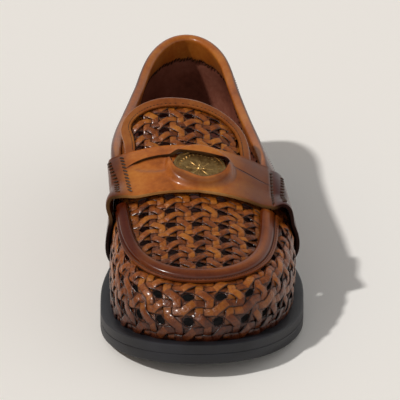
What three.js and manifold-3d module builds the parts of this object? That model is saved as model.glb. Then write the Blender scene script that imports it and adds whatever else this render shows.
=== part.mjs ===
// Woven penny loafer for the left foot, standing on its sole: upper of open cane weave, smooth saddle, black rubber sole.
// Millimetres, +Z up. The toe points to -Y, the little-toe side is +X, and the floor is Z = 0.
import * as THREE from "three";
import { mergeVertices } from "three/addons/utils/BufferGeometryUtils.js";
import Module from "manifold-3d";

// Sole
const soleLength = 293;
const ballWidth = 106;
const heelRound = 36;
const toeRound = 66;
const toeFullness = 2.2;
const outsoleThickness = 5.4;
const midsoleThickness = 5;
const edgeBevel = 0.9;
const midsoleReach = 0.5;
const weltReach = 6;
const heelHeight = 18;
const heelLength = 76;
const heelTaper = 2.5;
const heelInset = 0.8;
const shankLength = 96;
const treadLength = 46;
const toeSpring = 8.5;
const springCurve = 1.8;

// Upper
const wall = 2.2;
const clearance = 0.3;
const heelTopHeight = 76.5;
const heelLean = 6;
const apronSetback = 31;
const collarRound = 50;
const apronRound = 46;
const apronFullness = 2.3;
const tongueLength = 31;
const tongueRound = 19;
const tongueFullness = 2.4;
const throatOverlap = 1;
const insoleThickness = 3;

// Weave
const weavePitch = 14.5;
const apronPitch = 13.6;
const apronRowPitch = 10.2;
const holeWidth = 6.6;
const apronHoleLength = 4.6;
const stripRelief = 0.9;
const featherMargin = 3;
const liningEnd = 150;

// Smooth leather pieces
const leather = 1.3;
const borderOutside = 4.6;
const borderInside = 5;
const borderRise = 2.5;
const bindingOutside = 8;
const bindingInside = 13;
const tongueBinding = 4.2;
const seamAllowance = 3;
const endGap = 0.8;
const strapCentre = 186;
const strapWidth = 35;
const strapFoot = 38;
const strapSlant = 24;
const strapThickness = 1.8;
const backingThickness = 0.8;
const backingWidth = 24;
const backingSpan = 70;
const coinDiameter = 28;
const coinThickness = 1.8;
const coinRim = 1.6;
const coinAcross = 0.5;
const bumpSpread = 10;
const backStayTop = 14;
const backStayFoot = 22;

// Outline of the sole, as shares of its length and of the ball width.
const plan = [
  { along: 0, centre: 0, half: 0.33, shelf: 0.6 },
  { along: 0.12, centre: 0, half: 0.335, shelf: 0.6 },
  { along: 0.26, centre: 0.01, half: 0.32, shelf: 0.62 },
  { along: 0.4, centre: 0.02, half: 0.337, shelf: 0.75 },
  { along: 0.54, centre: 0.022, half: 0.418, shelf: 0.95 },
  { along: 0.68, centre: 0.015, half: 0.492, shelf: 1 },
  { along: 0.8, centre: 0, half: 0.492, shelf: 1 },
  { along: 0.9, centre: -0.015, half: 0.475, shelf: 1 },
  { along: 1, centre: -0.02, half: 0.45, shelf: 1 },
];

// Top edge of the upper's wall, from the heel (0) to the front of the apron (1): collar first, then apron seam.
// Half width and centre are shares of the ball width, height and tilt shares of the heel's height.
const topline = [
  { along: 0, centre: 0, half: 0.222, height: 1, tilt: 0 },
  { along: 0.09, centre: -0.005, half: 0.227, height: 0.95, tilt: 0 },
  { along: 0.18, centre: -0.013, half: 0.242, height: 0.89, tilt: 0.01 },
  { along: 0.27, centre: -0.022, half: 0.278, height: 0.85, tilt: 0.03 },
  { along: 0.37, centre: -0.03, half: 0.32, height: 0.82, tilt: 0.06 },
  { along: 0.46, centre: -0.034, half: 0.353, height: 0.815, tilt: 0.09 },
  { along: 0.56, centre: -0.034, half: 0.374, height: 0.825, tilt: 0.12 },
  { along: 0.65, centre: -0.028, half: 0.375, height: 0.8, tilt: 0.13 },
  { along: 0.76, centre: -0.02, half: 0.364, height: 0.695, tilt: 0.11 },
  { along: 0.88, centre: -0.015, half: 0.342, height: 0.59, tilt: 0.06 },
  { along: 1, centre: -0.005, half: 0.335, height: 0.535, tilt: 0 },
];

// How the wall bends between sole and top edge. Flare and shoulder are shares of the ball width, rise and dip of the
// wall's own height. Sway is how much fuller the shoulder is on the small-toe side, and leaner on the other.
const bulge = [
  { along: 0, flare: 0.05, rise: 0.35, shoulder: 0.045, dip: 0.4, sway: 0 },
  { along: 0.25, flare: 0.035, rise: 0.35, shoulder: 0.04, dip: 0.35, sway: 0 },
  { along: 0.5, flare: 0.02, rise: 0.4, shoulder: 0.045, dip: 0.3, sway: 0.03 },
  { along: 0.7, flare: 0.025, rise: 0.5, shoulder: 0.075, dip: 0.11, sway: 0.06 },
  { along: 0.85, flare: 0.03, rise: 0.55, shoulder: 0.09, dip: 0.06, sway: 0.045 },
  { along: 1, flare: 0.025, rise: 0.62, shoulder: 0.13, dip: 0.03, sway: 0 },
];

// Arch of the apron over its edges, from the throat (0) to its front (1), as a share of the heel's height.
const crown = [
  { along: 0, arch: 0.135 },
  { along: 0.35, arch: 0.115 },
  { along: 0.65, arch: 0.08 },
  { along: 1, arch: 0.05 },
];

// Tongue from the throat (0) to its end (1): its rise over the throat as a share of the heel's height, its half width
// and sideways shift as shares of the ball width, and its twist as a share of the heel's height.
const tongue = [
  { along: 0, rise: 0, half: 0.3, shift: -0.014, twist: 0 },
  { along: 0.3, rise: 0.06, half: 0.3, shift: -0.018, twist: 0.02 },
  { along: 0.6, rise: 0.12, half: 0.305, shift: -0.035, twist: 0.05 },
  { along: 1, rise: 0.2, half: 0.305, shift: -0.05, twist: 0.1 },
];

// Slot in the saddle over the coin, as shares of the coin's diameter across and towards the toe.
const slotEdge = [
  [-1.27, -0.2],
  [-1.12, -0.32],
  [-0.8, -0.35],
  [-0.4, -0.34],
  [0, -0.33],
  [0.36, -0.28],
  [0.68, -0.18],
  [1.07, -0.1],
  [1.07, -0.07],
  [0.68, -0.11],
  [0.44, 0.16],
  [0.1, 0.33],
  [0, 0.35],
  [-0.1, 0.31],
  [-0.46, 0.08],
  [-0.8, 0.07],
  [-1.12, -0.07],
];

const wasm = await Module();
wasm.setup();

// A column of a table at a share, on a smooth curve through its rows.
function read(table, column, share) {
  const s = THREE.MathUtils.clamp(share, table[0].along, table.at(-1).along);
  let i = 0;
  while (i < table.length - 2 && s > table[i + 1].along) i++;
  const slope = (k) => {
    const a = table[Math.max(k - 1, 0)];
    const b = table[Math.min(k + 1, table.length - 1)];
    return (b[column] - a[column]) / (b.along - a.along);
  };
  const [a, b] = [table[i], table[i + 1]];
  const span = b.along - a.along;
  const t = (s - a.along) / span;
  const [t2, t3] = [t * t, t * t * t];
  return (
    a[column] * (2 * t3 - 3 * t2 + 1) +
    b[column] * (3 * t2 - 2 * t3) +
    span * (slope(i) * (t3 - 2 * t2 + t) + slope(i + 1) * (t3 - t2))
  );
}

// Share of the full half width that a rounded end leaves at a distance from its tip.
function roundEnd(distance, length, fullness) {
  if (distance >= length) return 1;
  if (distance <= 0) return 0;
  return (1 - (1 - distance / length) ** fullness) ** (1 / fullness);
}

const smoothStep = (value, low, high) => THREE.MathUtils.smoothstep(value, low, high);

// A point of the shoe: across towards the little toe, along from the back of the sole, and up.
const place = (across, along, up) => new THREE.Vector3(across, soleLength / 2 - along, up);

// Which side of the foot an angle round the shoe is on: 0 is the heel, pi the toe, and the big-toe side comes first.
const sideOf = (angle) => (Math.sin(angle) >= 0 ? -1 : 1);
const shareOf = (angle) => (1 - Math.cos(angle)) / 2;

// Bottom of the outsole above the floor: heel seat, shank, flat tread, and toe spring.
function underside(along) {
  const shankEnd = heelLength + shankLength;
  const spring = Math.max(0, along - shankEnd - treadLength) / (soleLength - shankEnd - treadLength);
  return heelHeight * (1 - smoothStep(along, heelLength - 8, shankEnd)) + toeSpring * spring ** springCurve;
}
const soleTop = (along) => underside(along) + outsoleThickness + clearance + midsoleThickness;

// Outline of the sole at an angle, drawn in by an inset.
function soleEdge(angle, inset = 0) {
  const at = (a) => {
    const along = soleLength * shareOf(a);
    const share = along / soleLength;
    const ends =
      roundEnd(along, heelRound, 2) * roundEnd(soleLength - along, toeRound, toeFullness);
    const half = ballWidth * read(plan, "half", share) * ends;
    return new THREE.Vector2(ballWidth * read(plan, "centre", share) + sideOf(a) * half, along);
  };
  const step = 0.01;
  const point = at(angle);
  const way = at(angle + step).sub(at(angle - step)).normalize();
  // Walking up the big-toe side, the outside lies to the left.
  const out = new THREE.Vector2(-way.y, way.x);
  return { point: point.addScaledVector(out, -inset), out };
}

// Top edge of the wall at an angle: collar behind the saddle, apron seam in front.
const topFront = soleLength - apronSetback;
const topAlong = (angle) => heelLean + (topFront - heelLean) * shareOf(angle);
const angleAtTop = (along) => Math.acos(1 - (2 * (along - heelLean)) / (topFront - heelLean));
function topHalf(along) {
  const ends =
    roundEnd(along - heelLean, collarRound, 2) *
    roundEnd(topFront - along, apronRound, apronFullness);
  return ballWidth * read(topline, "half", (along - heelLean) / (topFront - heelLean)) * ends;
}
const topShare = (along) => (along - heelLean) / (topFront - heelLean);
const topCentre = (along) => ballWidth * read(topline, "centre", topShare(along));
const topTilt = (along) => heelTopHeight * read(topline, "tilt", topShare(along));
const topHeight = (along) => heelTopHeight * read(topline, "height", topShare(along));
function topEdge(angle) {
  const along = topAlong(angle);
  const half = topHalf(along);
  const across = sideOf(angle) * half;
  const tilt = (-topTilt(along) * across) / ballWidth;
  return place(topCentre(along) + across, along, topHeight(along) + tilt);
}

// The wall's own curve at an angle, from the sole to the top edge.
function wallCurve(angle) {
  const share = shareOf(angle);
  const { point, out } = soleEdge(angle, weltReach * read(plan, "shelf", share));
  const foot = place(point.x, point.y, soleTop(point.y) + clearance);
  const top = topEdge(angle);
  const height = top.z - foot.z;
  const outward = new THREE.Vector3(out.x, -out.y, 0);
  const low = foot.clone().addScaledVector(outward, ballWidth * read(bulge, "flare", share));
  low.z += height * read(bulge, "rise", share);
  const shoulder = read(bulge, "shoulder", share) + sideOf(angle) * read(bulge, "sway", share);
  const high = top.clone().addScaledVector(outward, ballWidth * shoulder);
  high.z -= height * read(bulge, "dip", share);
  return new THREE.CubicBezierCurve3(foot, low, high, top);
}

// A point of the wall: angle round the shoe, share of the way up, and distance out of its surface.
function wallPoint(angle, up, out = 0) {
  const point = wallCurve(angle).getPoint(up);
  if (!out) return point;
  point.addScaledVector(wallNormal(angle, up), out);
  // The foot's cut lies flat on the sole.
  if (up === 0) point.z = soleTop(soleLength / 2 - point.y) + clearance;
  return point;
}
function wallNormal(angle, up) {
  const step = 0.01;
  const v = THREE.MathUtils.clamp(up, step, 1 - step);
  const round = wallPoint(angle + step, v).sub(wallPoint(angle - step, v));
  const rise = wallPoint(angle, v + step).sub(wallPoint(angle, v - step));
  return round.cross(rise).normalize();
}

// Share of the way up at a distance over the surface from the sole.
function wallLevels(angle) {
  const curve = wallCurve(angle);
  curve.arcLengthDivisions = 40;
  const length = curve.getLength();
  return { length, shareAt: (d) => curve.getUtoTmapping(THREE.MathUtils.clamp(d / length, 0, 1)) };
}

// Angle round the shoe at a distance along the wall's foot from the heel.
const footSteps = 720;
const footDistance = [0];
for (let i = 1; i <= footSteps; i++) {
  const at = (k) => {
    const a = (k / footSteps) * 2 * Math.PI;
    return soleEdge(a, weltReach * read(plan, "shelf", shareOf(a))).point;
  };
  footDistance.push(footDistance[i - 1] + at(i).distanceTo(at(i - 1)));
}
const footGirth = footDistance[footSteps];
function angleAtFoot(distance) {
  const d = ((distance % footGirth) + footGirth) % footGirth;
  let i = 1;
  while (footDistance[i] < d) i++;
  const part = (d - footDistance[i - 1]) / (footDistance[i] - footDistance[i - 1]);
  return ((i - 1 + part) / footSteps) * 2 * Math.PI;
}

// Apron in front of the throat, and the tongue behind it, as one arched sheet.
const strapFront = strapCentre + strapWidth / 2;
const strapRear = strapCentre - strapWidth / 2;
const throat = strapRear + throatOverlap;
const tongueEnd = strapRear - tongueLength;
const tongueShare = (along) => (throat - along) / (throat - tongueEnd);
function apronPoint(across, along, out = 0) {
  const share = Math.max(0, tongueShare(along));
  const at = Math.max(along, throat);
  const nominal = ballWidth * read(topline, "half", topShare(at));
  const arch = heelTopHeight * read(crown, "arch", (at - throat) / (topFront - throat));
  const lean = topTilt(at) + heelTopHeight * read(tongue, "twist", share);
  const edge = topHeight(at) + heelTopHeight * read(tongue, "rise", share);
  const ends = roundEnd(topFront - at, apronRound, apronFullness);
  const up = edge - (lean * across) / ballWidth + arch * (ends ** 2 - (across / nominal) ** 2);
  const point = place(topCentre(at) + across, along, up);
  if (!out) return point;
  return point.addScaledVector(apronNormal(across, along), out);
}
function apronNormal(across, along) {
  const step = 0.5;
  const side = apronPoint(across + step, along).sub(apronPoint(across - step, along));
  const back = apronPoint(across, along - step).sub(apronPoint(across, along + step));
  return side.cross(back).normalize();
}

// Edge of the tongue in plan at a share from its big-toe side (0) round its end to its other side (1).
function tongueEdge(share, start = throat) {
  const at = (s) => {
    const side = s < 0.5 ? -1 : 1;
    const run = 2 * Math.min(s, 1 - s);
    const straight = start - tongueEnd - tongueRound;
    let along = start - (run / 0.35) * straight;
    let round = 1;
    if (run > 0.35) {
      const turn = ((run - 0.35) / 0.65) * (Math.PI / 2);
      round = Math.cos(turn) ** (2 / tongueFullness);
      along = tongueEnd + tongueRound * (1 - Math.sin(turn) ** (2 / tongueFullness));
    }
    const middle = ballWidth * read(tongue, "shift", tongueShare(along));
    const half = ballWidth * read(tongue, "half", tongueShare(along));
    return new THREE.Vector2(middle + side * half * round, along);
  };
  const here = at(share);
  const way = at(Math.min(share + 0.01, 1)).sub(at(Math.max(share - 0.01, 0))).normalize();
  const inward = new THREE.Vector2(-way.y, way.x);
  if (share === 0 || share === 1) inward.set(share ? -1 : 1, 0);
  return { across: here.x, along: here.y, inward };
}

// Mesh from a list of triangles, each three points.
function meshOf(triangles) {
  const real = triangles.filter(
    ([a, b, c]) => a.distanceTo(b) > 1e-3 && b.distanceTo(c) > 1e-3 && c.distanceTo(a) > 1e-3,
  );
  return mergeVertices(new THREE.BufferGeometry().setFromPoints(real.flat()), 1e-4);
}
const quad = (a, b, c, d) => [
  [a, b, c],
  [a, c, d],
];

// A closed geometry as a solid for cutting and joining, and back.
function solidOf(geometry) {
  const bare = geometry.clone();
  bare.deleteAttribute("normal");
  bare.deleteAttribute("uv");
  const merged = mergeVertices(bare, 1e-4);
  return new wasm.Manifold(
    new wasm.Mesh({
      numProp: 3,
      vertProperties: merged.attributes.position.array,
      triVerts: new Uint32Array(merged.index.array),
    }),
  );
}
function geometryOf(solid) {
  const { vertProperties, triVerts } = solid.getMesh();
  const geometry = new THREE.BufferGeometry();
  geometry.setAttribute("position", new THREE.BufferAttribute(vertProperties, 3));
  geometry.setIndex(new THREE.BufferAttribute(triVerts, 1));
  return geometry;
}

// Closed tube through rings of points that all have as many. Its ends are capped, or drawn to an edge.
function sweep(rings) {
  const triangles = [];
  for (let i = 0; i < rings.length - 1; i++) {
    const [a, b] = [rings[i], rings[i + 1]];
    a.forEach((_, k) => {
      const n = (k + 1) % a.length;
      triangles.push(...quad(a[k], b[k], b[n], a[n]));
    });
  }
  for (const [ring, flip] of [[rings[0], false], [rings.at(-1), true]]) {
    if (ring[0].distanceTo(ring.at(-1)) < 1e-3) continue;
    const flat = THREE.ShapeUtils.triangulateShape(flattened(ring), []);
    for (const [a, b, c] of flat) {
      triangles.push(flip ? [ring[a], ring[c], ring[b]] : [ring[a], ring[b], ring[c]]);
    }
  }
  return facingOut(meshOf(triangles));
}
// A ring of points seen square on, as a plane outline that turns the same way.
function flattened(ring) {
  const normal = new THREE.Vector3();
  ring.forEach((p, k) => normal.add(p.clone().cross(ring[(k + 1) % ring.length])));
  normal.normalize();
  const across = ring[1].clone().sub(ring[0]).normalize();
  const up = normal.clone().cross(across);
  return ring.map((p) => new THREE.Vector2(p.dot(across), p.dot(up)));
}

// Turned right way out, whichever way its rings ran.
function facingOut(geometry) {
  const solid = solidOf(geometry);
  if (solid.volume() > 0) return geometry;
  const index = geometry.index.array;
  for (let i = 0; i < index.length; i += 3) [index[i], index[i + 1]] = [index[i + 1], index[i]];
  return geometry;
}

// Curved plate between an outer and an inner face, both given by point(u, v, face) over whole cells.
// Row kinds: "plain" has no strips. A cell with a hole is open in the middle, with eight corners to its rim.
function wovenPlate({ columns, rows, wrap, point, kind, rim }) {
  const faces = { outer: [], inner: [] };
  const sides = [];
  const cell = (u, v, plain) =>
    plain
      ? [[u, v], [u + 0.5, v], [u + 1, v], [u + 1, v + 1], [u + 0.5, v + 1], [u, v + 1]]
      : [
          [u, v],
          [u + 0.5, v],
          [u + 1, v],
          [u + 1, v + 0.5],
          [u + 1, v + 1],
          [u + 0.5, v + 1],
          [u, v + 1],
          [u, v + 0.5],
        ];
  const wrapped = (u) => (wrap ? u % columns : u);
  const at = ([u, v], face) => point(wrapped(u), v, face);
  for (let i = 0; i < columns; i++) {
    for (let j = 0; j < rows; j++) {
      const what = kind(i, j);
      const corners = cell(i, j, what === "plain");
      const count = corners.length;
      const centre = [i + 0.5, j + 0.5];
      const inward = corners.map(([u, v]) => {
        const turn = Math.atan2(v - centre[1], u - centre[0]);
        return [centre[0] + rim(i, j).u * Math.cos(turn), centre[1] + rim(i, j).v * Math.sin(turn)];
      });
      for (const face of ["outer", "inner"]) {
        const list = faces[face];
        if (what === "plain") {
          const p = corners.map((c) => at(c, face));
          list.push([p[0], p[1], p[5]], [p[1], p[4], p[5]], [p[1], p[2], p[4]], [p[2], p[3], p[4]]);
          continue;
        }
        for (let k = 0; k < count; k++) {
          const n = (k + 1) % count;
          if (what === "hole") {
            list.push(
              ...quad(at(corners[k], face), at(corners[n], face), at(inward[n], face), at(inward[k], face)),
            );
          } else {
            list.push([at(corners[k], face), at(corners[n], face), at(centre, face)]);
          }
        }
      }
      if (what === "hole") {
        for (let k = 0; k < count; k++) {
          const n = (k + 1) % count;
          sides.push(
            ...quad(
              at(inward[k], "outer"),
              at(inward[n], "outer"),
              at(inward[n], "inner"),
              at(inward[k], "inner"),
            ),
          );
        }
      }
      // Edges of the plate: foot and top always, the two ends where it doesn't close on itself.
      const edge = (a, b) =>
        sides.push(...quad(at(b, "outer"), at(a, "outer"), at(a, "inner"), at(b, "inner")));
      for (let k = 0; k < count; k++) {
        const [a, b] = [corners[k], corners[(k + 1) % count]];
        const onFoot = a[1] === 0 && b[1] === 0;
        const onTop = a[1] === rows && b[1] === rows;
        const onEnd = !wrap && a[0] === b[0] && (a[0] === 0 || a[0] === columns);
        if (onFoot || onTop || onEnd) edge(a, b);
      }
    }
  }
  const inner = faces.inner.map(([a, b, c]) => [a, c, b]);
  return meshOf([...faces.outer, ...inner, ...sides]);
}

// How far strips stand out at a place in the weave: they cross at cell corners and in the middle of cell sides.
function stripHeight(u, v) {
  const inCell = Math.max(Math.abs((u % 1) - 0.5), Math.abs((v % 1) - 0.5)) * 2;
  return stripRelief * smoothStep(inCell, 0.3, 0.9);
}

// Side wall of the upper: feather margin, two rows of weave, a third that dies out towards the toe, and a bound top.
const wallColumns = 2 * Math.round(footGirth / weavePitch / 2);
const wallPitch = footGirth / wallColumns;
const wallRows = 5;
const levelsAt = new Map();
function wallLevel(u, v) {
  const key = u.toFixed(4);
  if (!levelsAt.has(key)) {
    const angle = angleAtFoot(u * wallPitch);
    const { length, shareAt } = wallLevels(angle);
    const bound = angle > angleAtTop(strapFront) && angle < 2 * Math.PI - angleAtTop(strapFront);
    const band = bound ? borderOutside - 0.6 : bindingOutside + 1;
    const full = Math.min(weavePitch, (length - featherMargin - band - 1.5) / 2);
    const steps = [0, featherMargin, featherMargin + full, featherMargin + 2 * full, length - band, length];
    levelsAt.set(key, { angle, steps, shareAt });
  }
  const { angle, steps, shareAt } = levelsAt.get(key);
  const row = Math.min(Math.floor(v), wallRows - 1);
  const distance = THREE.MathUtils.lerp(steps[row], steps[row + 1], v - row);
  const fromTop = steps.at(-1) - distance;
  return { angle, up: shareAt(distance), height: steps[row + 1] - steps[row], fromTop };
}
const angleAtSole = (along) => Math.acos(1 - (2 * along) / soleLength);
// The saddle's feet stand behind its place on the instep. Angle of its edge on the wall, a share of the way up.
const strapFootCentre = strapCentre - strapSlant;
const strapEdge = (topAt, footAt, part) =>
  THREE.MathUtils.lerp(angleAtTop(topAt), angleAtSole(footAt), (1 - part) ** 1.7);
const cellTurn = (2 * Math.PI) / wallColumns;
const underStrap = (angle) => {
  const turn = Math.min(angle, 2 * Math.PI - angle);
  const rear = Math.min(angleAtTop(strapRear), angleAtSole(strapFootCentre - strapFoot / 2));
  const front = Math.max(angleAtTop(strapFront), angleAtSole(strapFootCentre + strapFoot / 2));
  return turn > rear - cellTurn && turn < front + cellTurn;
};
function wallKind(i, j) {
  if (j === 0 || j === wallRows - 1) return "plain";
  const { angle, height } = wallLevel(i + 0.5, j + 0.5);
  if (topAlong(angle) < liningEnd || underStrap(angle)) return "woven";
  return height > 0.75 * weavePitch ? "hole" : "woven";
}
function buildWall() {
  return wovenPlate({
    columns: wallColumns,
    rows: wallRows,
    wrap: true,
    kind: wallKind,
    rim: (i, j) => ({
      u: holeWidth / 2 / wallPitch,
      v: holeWidth / 2 / wallLevel(i + 0.5, j + 0.5).height,
    }),
    point: (u, v, face) => {
      const { angle, up, fromTop } = wallLevel(u, v);
      if (face === "inner") return wallPoint(angle, up, -wall);
      const fromHeel = Math.min(u, wallColumns - u) * wallPitch;
      const clear = smoothStep(fromHeel, backStayFoot / 2, backStayFoot / 2 + 5);
      const rows = v > 1.01 && v < wallRows - 1 && fromTop > borderOutside + 0.5 ? 1 : 0;
      const relief = underStrap(angle) ? 0 : stripHeight(u, v) * clear * rows;
      return wallPoint(angle, up, relief);
    },
  });
}

// Edge of the apron and tongue in plan, drawn in a little from the seam.
function apronOutline(inset) {
  const points = [];
  const start = angleAtTop(throat);
  for (const angle of anglesBetween(start, 2 * Math.PI - start)) {
    const a = topEdge(angle);
    const inward = inwardAt(angle);
    points.push(new THREE.Vector2(a.x + inward.x * inset, a.y + inward.y * inset));
  }
  const steps = 26;
  for (let i = 0; i <= steps; i++) {
    const { across, along } = tongueEdge(1 - i / steps);
    points.push(new THREE.Vector2(topCentre(throat) + across, soleLength / 2 - along));
  }
  return points;
}
const inwardAt = (angle) => {
  const way = topEdge(angle + 0.02).sub(topEdge(angle - 0.02)).setZ(0).normalize();
  return new THREE.Vector3(-way.y, way.x, 0);
};

// Angles of the wall's own columns between two angles, with both ends.
function anglesBetween(from, to) {
  const list = [from];
  for (let k = -wallColumns; k < 2 * wallColumns; k++) {
    const turns = Math.floor(k / 2 / wallColumns);
    const angle = angleAtFoot((k / 2) * wallPitch) + turns * 2 * Math.PI;
    if (angle > from + cellTurn / 8 && angle < to - cellTurn / 8) list.push(angle);
  }
  return [...list, to];
}

const seamPoints = [];
for (let i = 0; i <= 80; i++) {
  const start = angleAtTop(throat);
  seamPoints.push(topEdge(start + ((2 * Math.PI - 2 * start) * i) / 80));
}
const tonguePoints = [];
for (let i = 0; i <= 60; i++) {
  const { across, along } = tongueEdge(i / 60);
  tonguePoints.push(place(topCentre(throat) + across, along, 0));
}
// Distance in plan from the edge of the apron or tongue, under 0 outside it.
function fromEdge(across, along) {
  const here = apronPoint(across, along);
  const list = along < throat ? tonguePoints : seamPoints;
  const near = Math.min(...list.map((p) => Math.hypot(p.x - here.x, p.y - here.y)));
  return inPlan(here, list) ? near : -near;
}
function inPlan(point, outline) {
  let inside = false;
  outline.forEach((a, k) => {
    const b = outline[(k + 1) % outline.length];
    if (a.y > point.y === b.y > point.y) return;
    if (point.x < a.x + ((b.x - a.x) * (point.y - a.y)) / (b.y - a.y)) inside = !inside;
  });
  return inside;
}

// Rows of the apron's weave, closer together than its columns, over its rising middle line.
const apronRows = [];
{
  let along = topFront + 4;
  let last = apronPoint(0, along);
  apronRows.push(along);
  const back = tongueEnd - 1;
  while (along > back) {
    let run = 0;
    while (run < apronRowPitch && along > back) {
      along -= 0.25;
      const next = apronPoint(0, along);
      run += next.distanceTo(last);
      last = next;
    }
    apronRows.push(along);
  }
}
const apronColumns = 2 * Math.ceil((ballWidth * 0.42 + 3) / apronPitch) - 1;
function apronPlace(u, v) {
  const row = Math.min(Math.floor(v), apronRows.length - 2);
  const along = THREE.MathUtils.lerp(apronRows[row], apronRows[row + 1], v - row);
  return { across: (u - apronColumns / 2) * apronPitch, along };
}
function buildApron() {
  const rows = apronRows.length - 1;
  const backed = (along) => along > strapRear - 1 && along < strapFront + 1;
  const room = (u, v, reach) => {
    let least = Infinity;
    for (const [du, dv] of [[0, 0], [-1, -1], [1, -1], [-1, 1], [1, 1], [-1, 0], [1, 0], [0, -1], [0, 1]]) {
      const { across, along } = apronPlace(u + du * reach, THREE.MathUtils.clamp(v + dv * reach, 0, rows));
      least = Math.min(least, backed(along) ? -1 : fromEdge(across, along));
    }
    return least;
  };
  const sheet = wovenPlate({
    columns: apronColumns,
    rows,
    wrap: false,
    kind: (i, j) => (room(i + 0.5, j + 0.5, 0.3) > borderInside + 0.3 ? "hole" : "woven"),
    rim: () => ({ u: holeWidth / 2 / apronPitch, v: apronHoleLength / 2 / apronRowPitch }),
    point: (u, v, face) => {
      const { across, along } = apronPlace(u, v);
      if (face === "inner") return apronPoint(across, along, -wall);
      const height = stripHeight(u, v);
      const clear = height > 0 && room(u, v, 0.99) > borderInside + 0.3;
      return apronPoint(across, along, clear ? height : 0);
    },
  });
  const cutter = new THREE.ExtrudeGeometry(new THREE.Shape(apronOutline(0.3)), {
    depth: 2 * heelTopHeight,
    bevelEnabled: false,
  });
  return solidOf(facingOut(sheet)).intersect(solidOf(facingOut(cutter)));
}

// Allowance of the seam, inside the wall and under the apron, that holds the two together.
function buildSeam() {
  const start = angleAtTop(throat + 0.6);
  const rings = [];
  const sunk = 0.5;
  for (const angle of anglesBetween(start, 2 * Math.PI - start)) {
    const onWall = wallRing(angle, [
      { down: seamAllowance, out: -wall - sunk },
      { down: seamAllowance, out: -sunk },
    ]);
    const corner = onApronSeam(angle, 0.1, -sunk);
    rings.push([
      ...onWall,
      corner,
      onApronSeam(angle, seamAllowance, -sunk),
      onApronSeam(angle, seamAllowance, -wall - sunk),
      onApronSeam(angle, 0.6, -wall - sunk),
    ]);
  }
  return sweep(rings);
}
// A point of the apron's surface at a distance inwards from the seam.
function onApronSeam(angle, inside, out) {
  const p = topEdge(angle).addScaledVector(inwardAt(angle), inside);
  const along = soleLength / 2 - p.y;
  return apronPoint(p.x - topCentre(Math.max(along, throat)), along, out);
}

function buildUpper() {
  return geometryOf(solidOf(facingOut(buildWall())).add(buildApron()).add(solidOf(buildSeam())));
}

// Plates of the sole: section points {inset, up} run up one side and down the other, at stations along the foot.
function solePlate({ stations, section, base }) {
  const rings = [];
  for (let i = 0; i <= stations; i++) {
    const angle = (Math.PI * i) / stations;
    const side = (a, list) =>
      list.map(({ inset, up }) => {
        const { point } = soleEdge(a, typeof inset === "function" ? inset(a) : inset);
        return place(i % stations ? point.x : tipAcross(i), point.y, base(point.y) + up);
      });
    rings.push([...side(angle, section), ...side(2 * Math.PI - angle, [...section].reverse())]);
  }
  return sweep(rings);
}
// Where the outline's back and front tips lie across the shoe.
const tipAcross = (end) => ballWidth * read(plan, "centre", end ? 1 : 0);
const outsole = () =>
  solePlate({
    stations: 34,
    base: underside,
    section: [
      { inset: edgeBevel, up: 0 },
      { inset: 0, up: edgeBevel },
      { inset: 0, up: outsoleThickness - edgeBevel / 2 },
      { inset: edgeBevel / 2, up: outsoleThickness },
    ],
  });
const midsole = () =>
  solePlate({
    stations: 34,
    base: (along) => underside(along) + outsoleThickness + clearance,
    section: [
      { inset: midsoleReach + edgeBevel / 2, up: 0 },
      { inset: midsoleReach, up: edgeBevel / 2 },
      { inset: midsoleReach, up: midsoleThickness - edgeBevel },
      { inset: midsoleReach + edgeBevel, up: midsoleThickness },
    ],
  });

// Heel block: follows the sole above, tapers to the floor, and has a straight breast.
function heel() {
  const rings = [];
  const stations = 16;
  const levels = [
    { inset: heelInset + heelTaper + edgeBevel, up: 0 },
    { inset: heelInset + heelTaper, up: edgeBevel },
    { inset: heelInset, up: heelHeight },
  ];
  for (let i = 0; i <= stations; i++) {
    const angle = (angleAtSole(heelLength) * i) / stations;
    const side = (a, list) =>
      list.map(({ inset, up }) => {
        const { point } = soleEdge(a, inset);
        const top = underside(point.y) - clearance;
        return place(i ? point.x : tipAcross(0), point.y, Math.min(up, top));
      });
    rings.push([...side(angle, levels), ...side(2 * Math.PI - angle, [...levels].reverse())]);
  }
  return sweep(rings);
}

// Insole lying on the midsole inside the wall.
function insole() {
  const inset = (angle) => weltReach * read(plan, "shelf", shareOf(angle)) + wall + 0.9;
  return solePlate({
    stations: 30,
    base: (along) => soleTop(along) + clearance,
    section: [
      { inset, up: 0 },
      { inset, up: insoleThickness },
    ],
  });
}

// Section of a strip on the wall as {down, out}: down from the top edge over the surface, and out of it. An end
// beside the saddle follows the saddle's edge down the wall.
function wallRing(angle, section, edge = () => angle) {
  const { length } = wallLevels(angle);
  const top = topEdge(angle);
  const rise = top.clone().sub(wallPoint(angle, 0.97)).normalize();
  const normal = wallNormal(angle, 1);
  return section.map(({ down, out }) => {
    if (down <= 0) return top.clone().addScaledVector(normal, out).addScaledVector(rise, -down);
    const at = edge(1 - down / length);
    const levels = wallLevels(at);
    return wallPoint(at, levels.shareAt(levels.length - down), out);
  });
}

// Binding folded over the collar, from one side of the saddle round the heel to the other.
function collarBinding() {
  const end = angleAtTop(strapRear - endGap);
  const face = clearance + leather;
  const section = [
    { down: bindingOutside, out: clearance },
    { down: bindingOutside, out: face - 0.3 },
    { down: bindingOutside / 2, out: face },
    { down: 0, out: face },
    { down: -face, out: 0 },
    { down: -face, out: -wall },
    { down: 0, out: -wall - face },
    { down: bindingInside, out: -wall - face + 0.3 },
    { down: bindingInside, out: -wall - clearance },
    { down: -clearance, out: -wall - clearance },
    { down: -clearance, out: clearance },
  ];
  const edge = (part) => strapEdge(strapRear - endGap, strapFootCentre - strapFoot / 2 - endGap, part);
  return sweep(
    anglesBetween(-end, end).map((angle) => {
      if (Math.abs(angle) < end) return wallRing(angle, section);
      return wallRing(angle, section, (part) => Math.sign(angle) * edge(part));
    }),
  );
}

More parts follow.
